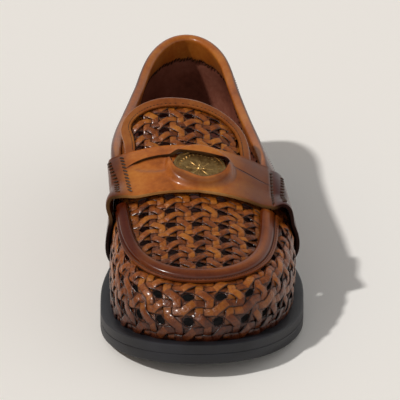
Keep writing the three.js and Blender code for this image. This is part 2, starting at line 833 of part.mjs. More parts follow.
// Rolled border over the apron seam, from one side of the saddle round the toe to the other.
function apronBorder() {
  const start = angleAtTop(strapFront + endGap);
  const face = clearance + leather;
  const section = [
    { down: borderOutside / 2, out: clearance + 0.1 },
    { down: borderOutside, out: clearance + 0.1 },
    { down: borderOutside, out: face },
    { down: borderOutside / 2, out: face },
    { down: 0.8, out: clearance + borderRise },
  ];
  const edge = (angle) => (part) => {
    if (angle > start && angle < 2 * Math.PI - start) return angle;
    const turn = strapEdge(strapFront + endGap, strapFootCentre + strapFoot / 2 + endGap, part);
    return angle > start ? 2 * Math.PI - turn : turn;
  };
  const rings = anglesBetween(start, 2 * Math.PI - start).map((angle) => [
    ...wallRing(angle, section, edge(angle)),
    onApronSeam(angle, borderInside / 2, clearance + borderRise),
    onApronSeam(angle, borderInside, face),
    onApronSeam(angle, borderInside, clearance + 0.5),
    onApronSeam(angle, borderInside / 2, clearance + 0.3),
    onApronSeam(angle, 0, clearance + 0.2),
  ]);
  return sweep(rings);
}

// Binding folded over the tongue's edge behind the saddle.
function tongueEdging() {
  const stations = 26;
  const rings = [];
  const face = clearance + leather;
  for (let i = 0; i <= stations; i++) {
    const { across, along, inward } = tongueEdge(i / stations, strapRear - clearance);
    const at = (inside, out) =>
      apronPoint(across + inward.x * inside, along + inward.y * inside, out);
    // The tongue's edge is cut upright, so the fold runs straight down beside it.
    const down = (point, thick) => point.setZ(point.z - thick / apronNormal(across, along).z);
    rings.push([
      at(tongueBinding, clearance),
      at(tongueBinding, face - 0.3),
      at(tongueBinding / 2, face),
      at(0, face),
      at(-face, 0),
      down(at(-face, 0), wall),
      down(at(-clearance, 0), wall + face),
      at(tongueBinding, -wall - face),
      at(tongueBinding, -wall - clearance),
      down(at(-clearance, clearance), wall + 2 * clearance),
      at(-clearance, clearance),
    ]);
  }
  return sweep(rings);
}

// Coin held in the saddle, flat over the middle of the instep, as low as the backing under it lets it lie.
const coinCentre = coinAcross - topCentre(strapCentre);
const coinNormal = apronNormal(coinCentre, strapCentre);
const coinFoot = apronPoint(coinCentre, strapCentre);
let coinLift = 0;
for (let k = 0; k < 24; k++) {
  const turn = (k / 24) * 2 * Math.PI;
  for (const r of [0, coinDiameter / 4, coinDiameter / 2]) {
    const p = apronPoint(
      coinCentre + r * Math.cos(turn),
      strapCentre + r * Math.sin(turn) * coinNormal.z,
      clearance + backingThickness,
    );
    coinLift = Math.max(coinLift, p.sub(coinFoot).dot(coinNormal));
  }
}
const coinSeat = coinFoot.clone().addScaledVector(coinNormal, coinLift + clearance);
const coinTop = coinSeat.clone().addScaledVector(coinNormal, coinThickness);
const coinTurn = new THREE.Quaternion().setFromUnitVectors(new THREE.Vector3(0, 1, 0), coinNormal);
function coin() {
  const r = coinDiameter / 2;
  const profile = [
    [0, 0],
    [r - 0.3, 0],
    [r, 0.3],
    [r, coinThickness - 0.3],
    [r - 0.3, coinThickness],
    [r - coinRim, coinThickness],
    [r - coinRim - 0.2, coinThickness - 0.4],
    [0, coinThickness - 0.4],
  ].map(([x, y]) => new THREE.Vector2(x, y));
  const disc = new THREE.LatheGeometry(profile, 24);
  disc.applyQuaternion(coinTurn);
  disc.translate(coinSeat.x, coinSeat.y, coinSeat.z);
  return facingOut(meshOf(trianglesOf(disc)));
}
function trianglesOf(geometry) {
  const flat = geometry.index ? geometry.toNonIndexed() : geometry;
  const p = flat.attributes.position;
  const list = [];
  for (let i = 0; i < p.count; i += 3) {
    const t = [0, 1, 2].map((k) => new THREE.Vector3().fromBufferAttribute(p, i + k));
    if (t[0].distanceTo(t[1]) > 1e-4 && t[1].distanceTo(t[2]) > 1e-4 && t[2].distanceTo(t[0]) > 1e-4) list.push(t);
  }
  return list;
}

// Thin leather layer under the slot.
function strapBacking() {
  const rings = [];
  const stations = 14;
  for (let i = 0; i <= stations; i++) {
    const across = coinCentre + backingSpan * (i / stations - 0.5);
    const at = (side, out) => apronPoint(across, strapCentre + (side * backingWidth) / 2, out);
    const top = clearance + backingThickness;
    rings.push([at(-1, clearance), at(0, clearance), at(1, clearance), at(1, top), at(0, top), at(-1, top)]);
  }
  return sweep(rings);
}

// Line of the saddle at a share of its width (0 front, 1 rear), from welt to welt over the instep.
const wallSteps = [0, 0.1, 0.2, 0.3, 0.4, 0.5, 0.6, 0.68, 0.76, 0.83, 0.9, 0.96];
function strapPath(share) {
  const topAt = THREE.MathUtils.lerp(strapFront, strapRear, share);
  const footAt = strapFootCentre + THREE.MathUtils.lerp(strapFoot / 2, -strapFoot / 2, share);
  const wallSide = (turn) =>
    wallSteps.map((part) => {
      const angle = turn(strapEdge(topAt, footAt, part));
      const { length, shareAt } = wallLevels(angle);
      const up = shareAt(0.3 + (length - 0.3) * part);
      return { point: wallPoint(angle, up), normal: wallNormal(angle, up), rest: clearance };
    });
  const half = topHalf(topAt);
  const over = [];
  const steps = 20;
  for (let k = 0; k <= steps; k++) {
    const across = half * (2 * (k / steps) - 1);
    const normal = apronNormal(across, topAt);
    if (k === 0 || k === steps) {
      const angle = k ? 2 * Math.PI - angleAtTop(topAt) : angleAtTop(topAt);
      normal.add(wallNormal(angle, 1)).normalize();
    }
    const backed = 1 - smoothStep(Math.abs(across - coinCentre), backingSpan / 2 + 1, backingSpan / 2 + 6);
    const rest = clearance + (backingThickness + clearance) * backed;
    over.push({ point: apronPoint(across, topAt), normal, rest });
  }
  return [...wallSide((a) => a), ...over, ...wallSide((a) => 2 * Math.PI - a).reverse()];
}

// Saddle: one plate from welt to welt, lifted over backing and coin, with the slot cut through.
function saddleStrap() {
  const rows = 5;
  const outer = [];
  const inner = [];
  for (let r = 0; r <= rows; r++) {
    const path = strapPath(r / rows);
    const lift = path.map(({ point, normal, rest }) => {
      const offCoin = point.clone().sub(coinTop);
      const above = offCoin.dot(coinNormal);
      const flat = offCoin.clone().addScaledVector(coinNormal, -above).length();
      const over = -above / normal.dot(coinNormal) + 1.5 * clearance;
      const near = 1 - smoothStep(flat, coinDiameter / 2 + 1.5, coinDiameter / 2 + bumpSpread);
      return flat > coinDiameter ? rest : THREE.MathUtils.lerp(rest, Math.max(over, rest), near);
    });
    inner.push(path.map(({ point, normal }, k) => point.clone().addScaledVector(normal, lift[k])));
    outer.push(
      path.map(({ point, normal }, k) => point.clone().addScaledVector(normal, lift[k] + strapThickness)),
    );
  }
  const triangles = [];
  const columns = outer[0].length - 1;
  for (let r = 0; r < rows; r++) {
    for (let c = 0; c < columns; c++) {
      triangles.push(...quad(outer[r][c], outer[r][c + 1], outer[r + 1][c + 1], outer[r + 1][c]));
      triangles.push(...quad(inner[r][c], inner[r + 1][c], inner[r + 1][c + 1], inner[r][c + 1]));
    }
    triangles.push(...quad(outer[r][0], outer[r + 1][0], inner[r + 1][0], inner[r][0]));
    triangles.push(...quad(outer[r + 1][columns], outer[r][columns], inner[r][columns], inner[r + 1][columns]));
  }
  for (let c = 0; c < columns; c++) {
    triangles.push(...quad(outer[0][c + 1], outer[0][c], inner[0][c], inner[0][c + 1]));
    triangles.push(...quad(outer[rows][c], outer[rows][c + 1], inner[rows][c + 1], inner[rows][c]));
  }
  const plate = facingOut(meshOf(triangles));
  return geometryOf(solidOf(plate).subtract(slotCutter()));
}
function slotCutter() {
  const shape = new THREE.Shape(slotEdge.map(([x, y]) => new THREE.Vector2(x * coinDiameter, y * coinDiameter)));
  const depth = 30;
  const cutter = new THREE.ExtrudeGeometry(shape, { depth, bevelEnabled: false });
  // The drawing's x runs across the shoe and its y towards the toe, down the slope of the instep.
  const acrossWay = new THREE.Vector3(1, 0, 0);
  const toeWay = acrossWay.clone().cross(coinNormal).normalize();
  const frame = new THREE.Matrix4().makeBasis(
    acrossWay,
    toeWay,
    new THREE.Vector3().crossVectors(acrossWay, toeWay),
  );
  cutter.translate(0, 0, -depth / 2);
  cutter.applyMatrix4(frame);
  cutter.translate(coinTop.x, coinTop.y, coinTop.z);
  return solidOf(facingOut(mergeVertices(bareOf(cutter), 1e-4)));
}
function bareOf(geometry) {
  geometry.deleteAttribute("normal");
  geometry.deleteAttribute("uv");
  return geometry;
}

// Smooth strip over the heel seam, from the sole to the binding.
function backStay() {
  const rings = [];
  const stations = 8;
  const ends = wallLevels(0).length;
  const top = ends - bindingOutside - clearance;
  for (let i = 0; i <= stations; i++) {
    const distance = THREE.MathUtils.lerp(0.2, top, i / stations);
    const half = THREE.MathUtils.lerp(backStayFoot, backStayTop, i / stations) / 2;
    const ring = [];
    const offs = [-1, -0.5, 0, 0.5, 1];
    const at = (k, out) => {
      const angle = k * half === 0 ? 0 : angleAtFoot(k * half) - (k < 0 ? 2 * Math.PI : 0);
      const { length, shareAt } = wallLevels(angle);
      return wallPoint(angle, shareAt((distance * length) / ends), out);
    };
    for (const k of offs) ring.push(at(k, clearance + leather));
    for (const k of [...offs].reverse()) ring.push(at(k, clearance));
    rings.push(ring);
  }
  return sweep(rings);
}

const finishes = {
  tan: { color: 0x9a5420, roughness: 0.38, metalness: 0 },
  woven: { color: 0x7a3f18, roughness: 0.42, metalness: 0 },
  rubber: { color: 0x1c1c1f, roughness: 0.55, metalness: 0 },
  sock: { color: 0x4a2116, roughness: 0.6, metalness: 0 },
  brass: { color: 0xb08d3c, roughness: 0.3, metalness: 1 },
};

const shoe = new THREE.Group();
function add(name, finish, geometry) {
  const mesh = new THREE.Mesh(geometry, new THREE.MeshStandardMaterial(finishes[finish]));
  mesh.name = name;
  shoe.add(mesh);
}
add("upper", "woven", buildUpper());
add("outsole", "rubber", outsole());
add("midsole", "rubber", midsole());
add("heel", "rubber", heel());
add("insole", "sock", insole());
add("apron_border", "tan", apronBorder());
add("collar_binding", "tan", collarBinding());
add("tongue_binding", "tan", tongueEdging());
add("saddle_strap", "tan", saddleStrap());
add("strap_backing", "tan", strapBacking());
add("coin", "brass", coin());
add("back_stay", "tan", backStay());

// The origin is on the floor under the middle of the shoe's box.
const box = new THREE.Box3().setFromObject(shoe);
const middle = box.getCenter(new THREE.Vector3());
for (const mesh of shoe.children) mesh.geometry.translate(-middle.x, -middle.y, 0);

export default shoe;
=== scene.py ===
import math

import bmesh
import bpy
import numpy as np
from mathutils import Matrix, Vector


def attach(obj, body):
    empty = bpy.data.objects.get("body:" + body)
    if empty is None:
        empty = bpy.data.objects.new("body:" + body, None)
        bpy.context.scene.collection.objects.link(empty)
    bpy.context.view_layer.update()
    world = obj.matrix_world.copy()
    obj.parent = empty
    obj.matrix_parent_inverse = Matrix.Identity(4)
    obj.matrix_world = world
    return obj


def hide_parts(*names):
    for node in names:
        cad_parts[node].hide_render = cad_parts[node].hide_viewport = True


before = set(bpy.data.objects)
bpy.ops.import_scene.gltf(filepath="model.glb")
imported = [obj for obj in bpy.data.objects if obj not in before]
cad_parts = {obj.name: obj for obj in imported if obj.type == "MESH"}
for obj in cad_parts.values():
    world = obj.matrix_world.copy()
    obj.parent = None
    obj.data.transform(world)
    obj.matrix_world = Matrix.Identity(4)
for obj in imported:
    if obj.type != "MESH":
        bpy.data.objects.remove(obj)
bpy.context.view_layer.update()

# Outsole: a plate of black rubber cut to the last's outline, flat under the ball, hollow at the shank and
# sprung at the toe. Its rim is rounded over and its tread side is finely ribbed.
sole_length, ball_width = 293.0, 106.0
heel_height, heel_length, shank_length, tread_length = 18.0, 76.0, 96.0, 46.0
toe_spring, spring_curve = 8.5, 1.8
outsole_thickness, midsole_thickness, clearance, rim_bevel = 5.4, 5.0, 0.3, 0.9
# How long and how full the sole's round ends are, at the heel and at the toe.
heel_round, toe_round = (36, 2), (66, 2.2)
# The middle of the shoe's box lies this far off the last's middle line, and this far behind half its length.
middle_across, middle_along = 0.943, 0.388
# Columns: share along, centre and half width as shares of the ball width, share of the welt shelf.
sole_plan = np.array([
    (0, 0, 0.33, 0.6), (0.12, 0, 0.335, 0.6), (0.26, 0.01, 0.32, 0.62), (0.4, 0.02, 0.337, 0.75),
    (0.54, 0.022, 0.418, 0.95), (0.68, 0.015, 0.492, 1), (0.8, 0, 0.492, 1), (0.9, -0.015, 0.475, 1),
    (1, -0.02, 0.45, 1),
])


def read(table, column, share):
    """A column of a pattern table at a share, on a smooth curve through its rows."""
    at, value = table[:, 0], table[:, column]
    slope = np.empty_like(value)
    slope[1:-1] = (value[2:] - value[:-2]) / (at[2:] - at[:-2])
    slope[0], slope[-1] = (value[1] - value[0]) / (at[1] - at[0]), (value[-1] - value[-2]) / (at[-1] - at[-2])
    share = np.clip(share, at[0], at[-1])
    row = np.clip(np.searchsorted(at, share) - 1, 0, len(at) - 2)
    span = at[row + 1] - at[row]
    t = (share - at[row]) / span
    blend = value[row] * (2 * t**3 - 3 * t**2 + 1) + value[row + 1] * (3 * t**2 - 2 * t**3)
    return blend + span * (slope[row] * (t**3 - 2 * t**2 + t) + slope[row + 1] * (t**3 - t**2))


def round_end(distance, length, fullness):
    """Share of the full width at a distance from the tip of a round end."""
    t = np.clip(distance / length, 0, 1)
    return (1 - (1 - t) ** fullness) ** (1 / fullness)


def ease(value, low, high):
    """0 below low, 1 above high, and a soft step between."""
    t = np.clip((value - low) / (high - low), 0, 1)
    return t * t * (3 - 2 * t)


def place(across, along, up):
    """Millimetres on the last to millimetres in the part's frame."""
    across, along, up = np.broadcast_arrays(across, along, up)
    return np.stack([across - middle_across, sole_length / 2 - along - middle_along, up], -1)


def underside(along):
    """Height of the sole's underside: the seat, the slope of the shank, the flat tread and the toe spring."""
    shank_end = heel_length + shank_length
    spring = np.maximum(0, along - shank_end - tread_length) / (sole_length - shank_end - tread_length)
    return heel_height * (1 - ease(along, heel_length - 8, shank_end)) + toe_spring * spring**spring_curve


def side_of(angle):
    """-1 on the big-toe side, 1 on the little-toe side."""
    return np.where(np.sin(angle) >= 0, -1.0, 1.0)


def sole_outline(angle):
    """Outline of the sole: angle 0 is the heel, pi the toe, and the big-toe side comes first."""
    along = sole_length * (1 - np.cos(angle)) / 2
    ends = round_end(along, *heel_round) * round_end(sole_length - along, *toe_round)
    share = along / sole_length
    across = read(sole_plan, 1, share) + side_of(angle) * read(sole_plan, 2, share) * ends
    return np.stack([ball_width * across, along], -1)


def sole_edge(angle, inset=0.0):
    """A point of the outline moved inwards, and the way out of the sole there."""
    way = sole_outline(angle + 0.01) - sole_outline(angle - 0.01)
    way /= np.linalg.norm(way, axis=-1, keepdims=True)
    out = np.stack([-way[..., 1], way[..., 0]], -1)
    return sole_outline(angle) - out * np.asarray(inset)[..., None], out


def across_sole(u, v, inset, reach=math.pi):
    """Point of a sole layer in plan: u across from the big-toe side, v along from the heel."""
    left, _ = sole_edge(reach * v, inset)
    right, _ = sole_edge(math.tau - reach * v, inset)
    tip = (v < 1e-6) | ((v > 1 - 1e-6) & (reach > 3.14))
    centre = np.where(v < 0.5, ball_width * sole_plan[0, 1], ball_width * sole_plan[-1, 1])
    across = np.where(tip, centre, left[..., 0] + (right[..., 0] - left[..., 0]) * u)
    return across, left[..., 1] + (right[..., 1] - left[..., 1]) * u


def finish_piece(name, mesh, material, sharp=40, replaces=()):
    """Turns a finished bmesh into a smooth-shaded piece of the shoe that rides on its one body."""
    data = bpy.data.meshes.new(name)
    mesh.to_mesh(data)
    mesh.free()
    data.shade_smooth()
    data.set_sharp_from_angle(angle=math.radians(sharp))
    data.materials.append(material)
    piece = bpy.data.objects.new(name, data)
    bpy.context.scene.collection.objects.link(piece)
    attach(piece, "root")
    if replaces:
        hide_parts(*replaces)
    return piece


def slab(across, along, levels, lay):
    """A slab from a grid: raised, sliced at its levels, and laid by lay(u, v, w), each from 0 to 1."""
    mesh = bmesh.new()
    bmesh.ops.create_grid(mesh, x_segments=across, y_segments=along, size=0.5)
    bmesh.ops.translate(mesh, vec=(0.5, 0.5, 0), verts=mesh.verts)
    grown = bmesh.ops.extrude_face_region(mesh, geom=mesh.faces[:])["geom"]
    raised = [v for v in grown if isinstance(v, bmesh.types.BMVert)]
    bmesh.ops.translate(mesh, vec=(0, 0, 1), verts=raised)
    for level in levels:
        cut = mesh.verts[:] + mesh.edges[:] + mesh.faces[:]
        bmesh.ops.bisect_plane(mesh, geom=cut, dist=1e-6, plane_co=(0, 0, level), plane_no=(0, 0, 1))
    spots = np.array([v.co[:] for v in mesh.verts])
    for vert, point in zip(mesh.verts, lay(*spots.T) / 1000):
        vert.co = point
    bmesh.ops.remove_doubles(mesh, verts=mesh.verts, dist=2e-6)
    bmesh.ops.recalc_face_normals(mesh, faces=mesh.faces)
    return mesh


def add(tree, kind, inputs=None, **settings):
    """A shader node with its settings, and its inputs set or linked."""
    node = tree.nodes.new("ShaderNode" + kind)
    for key, value in settings.items():
        setattr(node, key, value)
    for key, value in (inputs or {}).items():
        if isinstance(value, bpy.types.NodeSocket):
            tree.links.new(value, node.inputs[key])
        else:
            node.inputs[key].default_value = value
    return node


def dye(text):
    """A colour from its screen value, as light."""
    parts = [int(text[k : k + 2], 16) / 255 for k in (0, 2, 4)]
    return (*[c / 12.92 if c < 0.04045 else ((c + 0.055) / 1.055) ** 2.4 for c in parts], 1.0)


def ramp(tree, fac, *stops):
    """A colour ramp through its stops, each a place and a colour."""
    node = add(tree, "ValToRGB", {"Fac": fac})
    bar = node.color_ramp.elements
    while len(bar) < len(stops):
        bar.new(0.5)
    for element, (at, colour) in zip(bar, stops):
        element.position = at
        element.color = colour
    return node.outputs["Color"]


def math_of(tree, how, *values):
    return add(tree, "Math", dict(enumerate(values)), operation=how).outputs[0]


def cloudy(tree, coords, scale, detail, roughness=0.5):
    """A cloudy value from 0 to 1."""
    inputs = {"Vector": coords, "Scale": scale, "Detail": detail, "Roughness": roughness}
    return add(tree, "TexNoise", inputs).outputs["Fac"]


def stretch(tree, value, low, high, to_low, to_high):
    """The value's range from low to high, turned into the range from to_low to to_high."""
    inputs = {"Value": value, "From Min": low, "From Max": high, "To Min": to_low, "To Max": to_high}
    return add(tree, "MapRange", inputs).outputs[0]


def bumpy(tree, height, strength, distance):
    return add(tree, "Bump", {"Height": height, "Strength": strength, "Distance": distance}).outputs["Normal"]


def new_finish(name):
    material = bpy.data.materials.new(name)
    material.use_nodes = True
    tree = material.node_tree
    tree.nodes.clear()
    coords = add(tree, "TexCoord").outputs["Object"]
    return material, tree, coords


def close_finish(tree, inputs):
    shader = add(tree, "BsdfPrincipled", inputs)
    add(tree, "OutputMaterial", {"Surface": shader.outputs["BSDF"]})


def rubber_finish(name, light, dark, ribs):
    """Black rubber: dull in clouds and finely pitted, with slanting ribs on the tread."""
    material, tree, coords = new_finish(name)
    cloud = cloudy(tree, coords, 60.0, 5.0, 0.6)
    height = cloudy(tree, coords, 2200.0, 3.0)
    if ribs:
        turned = add(tree, "Mapping", {"Vector": coords, "Rotation": (0, 0, math.radians(45))}).outputs[0]
        wave = add(tree, "TexWave", {"Vector": turned, "Scale": 110.0, "Distortion": 0.0}, wave_profile="TRI")
        height = math_of(tree, "MULTIPLY_ADD", wave.outputs["Fac"], 6.0, height)
    close_finish(tree, {
        "Base Color": ramp(tree, cloud, (0.3, dye(dark)), (0.75, dye(light))),
        "Roughness": stretch(tree, cloud, 0.0, 1.0, 0.42, 0.6),
        "Normal": bumpy(tree, height, 0.5, 0.0006 if ribs else 0.00012),
        "Specular IOR Level": 0.37,
    })
    return material


sole_rubber = rubber_finish("sole_rubber", "26272d", "17171b", False)
tread_rubber = rubber_finish("tread_rubber", "27272a", "18181b", True)


def sole_layer(name, base, thickness, inset, turned_rim, node):
    """A rubber layer of even thickness over its base, its rim turned in by shares of the bevel."""

    def lay(u, v, w):
        rim = inset + rim_bevel * np.interp(w, (0, 0.03, 0.1, 0.9, 0.97, 1), turned_rim)
        across, along = across_sole(u, v, rim)
        return place(across, along, base(along) + thickness * w)

    mesh = slab(22, 120, (0.03, 0.1, 0.9, 0.97), lay)
    return finish_piece(name, mesh, sole_rubber, 50, (node,))


def rib_tread(piece):
    """Gives the faces that look at the floor the ribbed rubber."""
    piece.data.materials.append(tread_rubber)
    for face in piece.data.polygons:
        if face.normal.z < -0.9:
            face.material_index = 1


outsole_rim = (1, 0.45, 0, 0, 0.05, 0.15)
rib_tread(sole_layer("outsole_rubber", underside, outsole_thickness, 0.0, outsole_rim, "outsole"))

# Midsole: a second layer of black rubber glued on the outsole, a hair smaller, whose rim shows as the welt
# shelf round the upper. It is pressed a little into the outsole.
midsole_rim, midsole_inset, midsole_press = (0.15, 0.05, 0, 0, 0.5, 1.1), 0.12, 0.2
deck = lambda along: underside(along) + outsole_thickness + clearance
sole_top = lambda along: deck(along) + midsole_thickness
midsole_base = lambda along: deck(along) - midsole_press
midsole_depth = midsole_thickness + midsole_press
sole_layer("midsole_rubber", midsole_base, midsole_depth, midsole_inset, midsole_rim, "midsole")

# Heel: a block of the same rubber glued under the seat, tapered to the floor, with a straight breast. The top
# piece that walks on the floor is ribbed like the tread.
heel_taper, heel_inset = 2.5, 0.8
heel_reach = math.acos(1 - 2 * heel_length / sole_length)


def lay_heel(u, v, w):
    rim = heel_inset + heel_taper * (1 - w) + np.where(w < 0.01, rim_bevel, 0)
    across, along = across_sole(u, v, rim, heel_reach)
    along = np.where(v > 0.999, heel_length, along)
    return place(across, along, w * (underside(along) - clearance))


heel_mesh = slab(20, 60, (0.02, 0.06, 0.36, 0.38, 0.4), lay_heel)
rib_tread(finish_piece("heel_block", heel_mesh, sole_rubber, 40, ("heel",)))

# Insole sock: thin reddish-brown leather on a padded board, cut to lie on the midsole inside the wall. It is
# slightly crowned, and painted shade darkens it towards the toe.
wall, welt_reach, insole_thickness = 2.2, 6.0, 3.0
sock_gap, sock_edge, sock_crown = 0.9, 0.8, 0.6


def darken(mesh, darkness):
    """Keeps how much darker each point is made, by painted shade and on some pieces by rubbed dye:
    darkness(points in millimetres), from 0 to 1.
    """
    layer = mesh.verts.layers.float.new("shade")
    for vert, value in zip(mesh.verts, darkness(1000 * np.array([v.co[:] for v in mesh.verts]))):
        vert[layer] = value


def mix(tree, fac, a, b, how="MIX"):
    node = add(tree, "Mix", {0: fac, 6: a, 7: b}, data_type="RGBA", blend_type=how, clamp_factor=True)
    return node.outputs[2]


def kept(tree, name):
    """A value that the piece keeps at each of its points."""
    return add(tree, "Attribute", attribute_name=name).outputs["Fac"]


def leather_finish(name, tones, grain=1400.0, rough=(0.32, 0.5), shade_and_wear=None, wax=0.3):
    """Smooth vegetable-tanned leather: cloudy colour, fine pores and creases, and a waxed surface."""
    material, tree, coords = new_finish(name)
    deep, body, bright = map(dye, tones.split())
    cloud = cloudy(tree, coords, 45.0, 4.0, 0.6)
    mottle = cloudy(tree, coords, 420.0, 5.0, 0.65)
    grained = {"Vector": coords, "Scale": grain}
    pores = add(tree, "TexVoronoi", grained, feature="SMOOTH_F1").outputs["Distance"]
    tone = math_of(tree, "MULTIPLY_ADD", mottle, 0.35, math_of(tree, "MULTIPLY", cloud, 0.75))
    colour = ramp(tree, tone, (0.32, deep), (0.52, body), (0.78, bright))
    # Multiplied towards a darker colour by the shade the piece keeps: painted shade, and rubbed dye on some
    # pieces.
    if shade_and_wear:
        colour = mix(tree, kept(tree, "shade"), colour, dye(shade_and_wear), "MULTIPLY")
    close_finish(tree, {
        "Base Color": colour,
        "Roughness": stretch(tree, mottle, 0.3, 0.7, *rough),
        "Normal": bumpy(tree, math_of(tree, "MULTIPLY_ADD", pores, 0.7, mottle), 0.35, 0.00012),
        "Specular IOR Level": 0.26 if wax else 0.12,
        "Coat Weight": wax,
        "Coat Roughness": 0.16,
    })
    return material


# The sock's dark colour gives its painted shade towards the toe.
sock_leather = leather_finish(
    "sock_leather", "3a1f18 55302a 6b4034", rough=(0.45, 0.65), shade_and_wear="140a07", wax=0.0)


def lay_insole(u, v, w):
    rim = welt_reach * read(sole_plan, 3, (1 - np.cos(math.pi * v)) / 2) + wall + sock_gap
    across, along = across_sole(u, v, rim + sock_edge * (w > 0.99))
    crown = sock_crown * (1 - (2 * u - 1) ** 2) * np.sin(math.pi * np.clip(v, 0, 1)) * (w > 0.5)
    return place(across, along, sole_top(along) + clearance + insole_thickness * w + crown)


sock = slab(20, 80, (0.8,), lay_insole)
# Painted shade: the sock darkens towards the toe, where the inside of the shoe is in shadow.
darken(sock, lambda p: ease(-p[:, 1], 20, 50))
finish_piece("insole_sock", sock, sock_leather, 50, ("insole",))

# Vamp and quarters: narrow strips of tan leather woven like cane in place on the last, in upright and level
# pairs with one strip along each diagonal, so that an eight-sided hole is left in each cell. Their feet are
# lasted under the welt.
heel_top, heel_lean, top_front = 76.5, 6.0, 262.0
heel_top_round, toe_top_round = (50, 2), (46, 2.3)
# Columns: share along from the heel to the front of the apron, centre, half width, height and tilt.
topline = np.array([
    (0, 0, 0.222, 1, 0), (0.09, -0.005, 0.227, 0.95, 0), (0.18, -0.013, 0.242, 0.89, 0.01),
    (0.27, -0.022, 0.278, 0.85, 0.03), (0.37, -0.03, 0.32, 0.82, 0.06), (0.46, -0.034, 0.353, 0.815, 0.09),
    (0.56, -0.034, 0.374, 0.825, 0.12), (0.65, -0.028, 0.375, 0.8, 0.13), (0.76, -0.02, 0.364, 0.695, 0.11),
    (0.88, -0.015, 0.342, 0.59, 0.06), (1, -0.005, 0.335, 0.535, 0),
])
# Columns: share along, flare, rise, shoulder, dip and sway to the little-toe side.
bulge = np.array([
    (0, 0.05, 0.35, 0.045, 0.4, 0), (0.25, 0.035, 0.35, 0.04, 0.35, 0),
    (0.5, 0.02, 0.4, 0.045, 0.3, 0.03), (0.7, 0.025, 0.5, 0.075, 0.11, 0.06),
    (0.85, 0.03, 0.55, 0.09, 0.06, 0.045), (1, 0.025, 0.62, 0.13, 0.03, 0),
])


top_share = lambda along: (along - heel_lean) / (top_front - heel_lean)
top_centre = lambda along: ball_width * read(topline, 1, top_share(along))
top_tilt = lambda along: heel_top * read(topline, 4, top_share(along))
top_height = lambda along: heel_top * read(topline, 3, top_share(along))
top_along = lambda angle: heel_lean + (top_front - heel_lean) * (1 - np.cos(angle)) / 2
angle_at_top = lambda along: np.arccos(np.clip(1 - 2 * (along - heel_lean) / (top_front - heel_lean), -1, 1))
angle_at_sole = lambda along: np.arccos(np.clip(1 - 2 * along / sole_length, -1, 1))


def top_half(along):
    """Half the width between the top edges."""
    ends = round_end(along - heel_lean, *heel_top_round) * round_end(top_front - along, *toe_top_round)
    return ball_width * read(topline, 2, top_share(along)) * ends


def top_edge(angle):
    along = top_along(angle)
    across = side_of(angle) * top_half(along)
    return place(top_centre(along) + across, along, top_height(along) - top_tilt(along) * across / ball_width)


def wall_controls(angle):
    """The four points of the wall's own curve at each angle, from the sole to the top edge."""
    share = (1 - np.cos(angle)) / 2
    edge, out = sole_edge(angle, welt_reach * read(sole_plan, 3, share))
    foot = place(edge[..., 0], edge[..., 1], sole_top(edge[..., 1]) + clearance)
    top = top_edge(angle)
    height = (top - foot)[..., 2]
    outward = np.stack([out[..., 0], -out[..., 1], 0 * share], -1)
    low = foot + outward * (ball_width * read(bulge, 1, share))[..., None]
    low[..., 2] += height * read(bulge, 2, share)
    sway = side_of(angle) * read(bulge, 5, share)
    high = top + outward * (ball_width * (read(bulge, 3, share) + sway))[..., None]
    high[..., 2] -= height * read(bulge, 4, share)
    return np.stack([foot, low, high, top], -2)


def on_curve(controls, t):
    weight = np.stack([(1 - t) ** 3, 3 * t * (1 - t) ** 2, 3 * t * t * (1 - t), t**3], -1)
    return (controls * weight[..., None]).sum(-2)


def unit(vectors):
    return vectors / np.maximum(np.linalg.norm(vectors, axis=-1, keepdims=True), 1e-9)


wall_steps = 40


def wall_lengths(angle):
    """Distances over the wall's surface at even steps from the sole to the top edge."""
    steps = np.linspace(0, 1, wall_steps + 1)
    controls = wall_controls(angle)
    points = on_curve(controls[:, None], np.broadcast_to(steps, (len(angle), len(steps))))
    runs = np.linalg.norm(np.diff(points, axis=1), axis=-1)
    return np.concatenate([np.zeros((len(angle), 1)), np.cumsum(runs, 1)], 1)


def wall_at(angle, distance, out=0.0):
    """Point and normal of the wall at an angle and a distance up its surface, set out from it."""
    lengths = wall_lengths(angle)
    distance = np.clip(distance, 0, lengths[:, -1])
    k = np.clip((lengths < distance[:, None]).sum(1), 1, wall_steps)
    rows = np.arange(len(angle))
    low, high = lengths[rows, k - 1], lengths[rows, k]
    up = (k - 1 + (distance - low) / (high - low)) / wall_steps
    at = np.clip(up, 0.01, 0.99)
    round_way = on_curve(wall_controls(angle + 0.01), at) - on_curve(wall_controls(angle - 0.01), at)
    controls = wall_controls(angle)
    rise = on_curve(controls, at + 0.01) - on_curve(controls, at - 0.01)
    normal = unit(np.cross(round_way, rise))
    return on_curve(controls, up) + normal * np.broadcast_to(out, up.shape)[:, None], normal


foot_angles = np.linspace(0, math.tau, 721)
foot_line = sole_edge(foot_angles, welt_reach * read(sole_plan, 3, (1 - np.cos(foot_angles)) / 2))[0]
foot_girth = np.concatenate([[0], np.cumsum(np.linalg.norm(np.diff(foot_line, axis=0), axis=1))])
cell, row_height = 14.5, 14.2
wall_columns = 2 * round(foot_girth[-1] / cell / 2)
wall_pitch = foot_girth[-1] / wall_columns
angle_at_foot = lambda distance: np.interp(distance % foot_girth[-1], foot_girth, foot_angles)

# What lies over the weave and presses it flat: saddle, apron border, collar binding and back stay.
strap_centre, strap_width, strap_foot, strap_curve = 186.0, 35.0, 38.0, 1.7
strap_front, strap_rear, strap_foot_centre = 203.5, 168.5, 162.0
border_outside, border_inside, binding_outside, binding_inside = 4.6, 5.0, 8.0, 13.0
stay_foot_width, stay_top_width = 22, 14
feather_margin, strip_sunk = 3.0, 0.65
strip_width, strip_thickness, pair_gap = 4.5, 1.1, 2.3
strap_rear_foot, strap_front_foot = strap_foot_centre - strap_foot / 2, strap_foot_centre + strap_foot / 2
turn_of = lambda angle: np.minimum(angle, math.tau - angle)


def strap_angle(top_at, foot_at, part):
    """The angle of the saddle's line from its foot at the welt to the top edge, as part goes from 0 to 1."""
    flare = (1 - part) ** strap_curve
    return angle_at_top(top_at) + (angle_at_sole(foot_at) - angle_at_top(top_at)) * flare


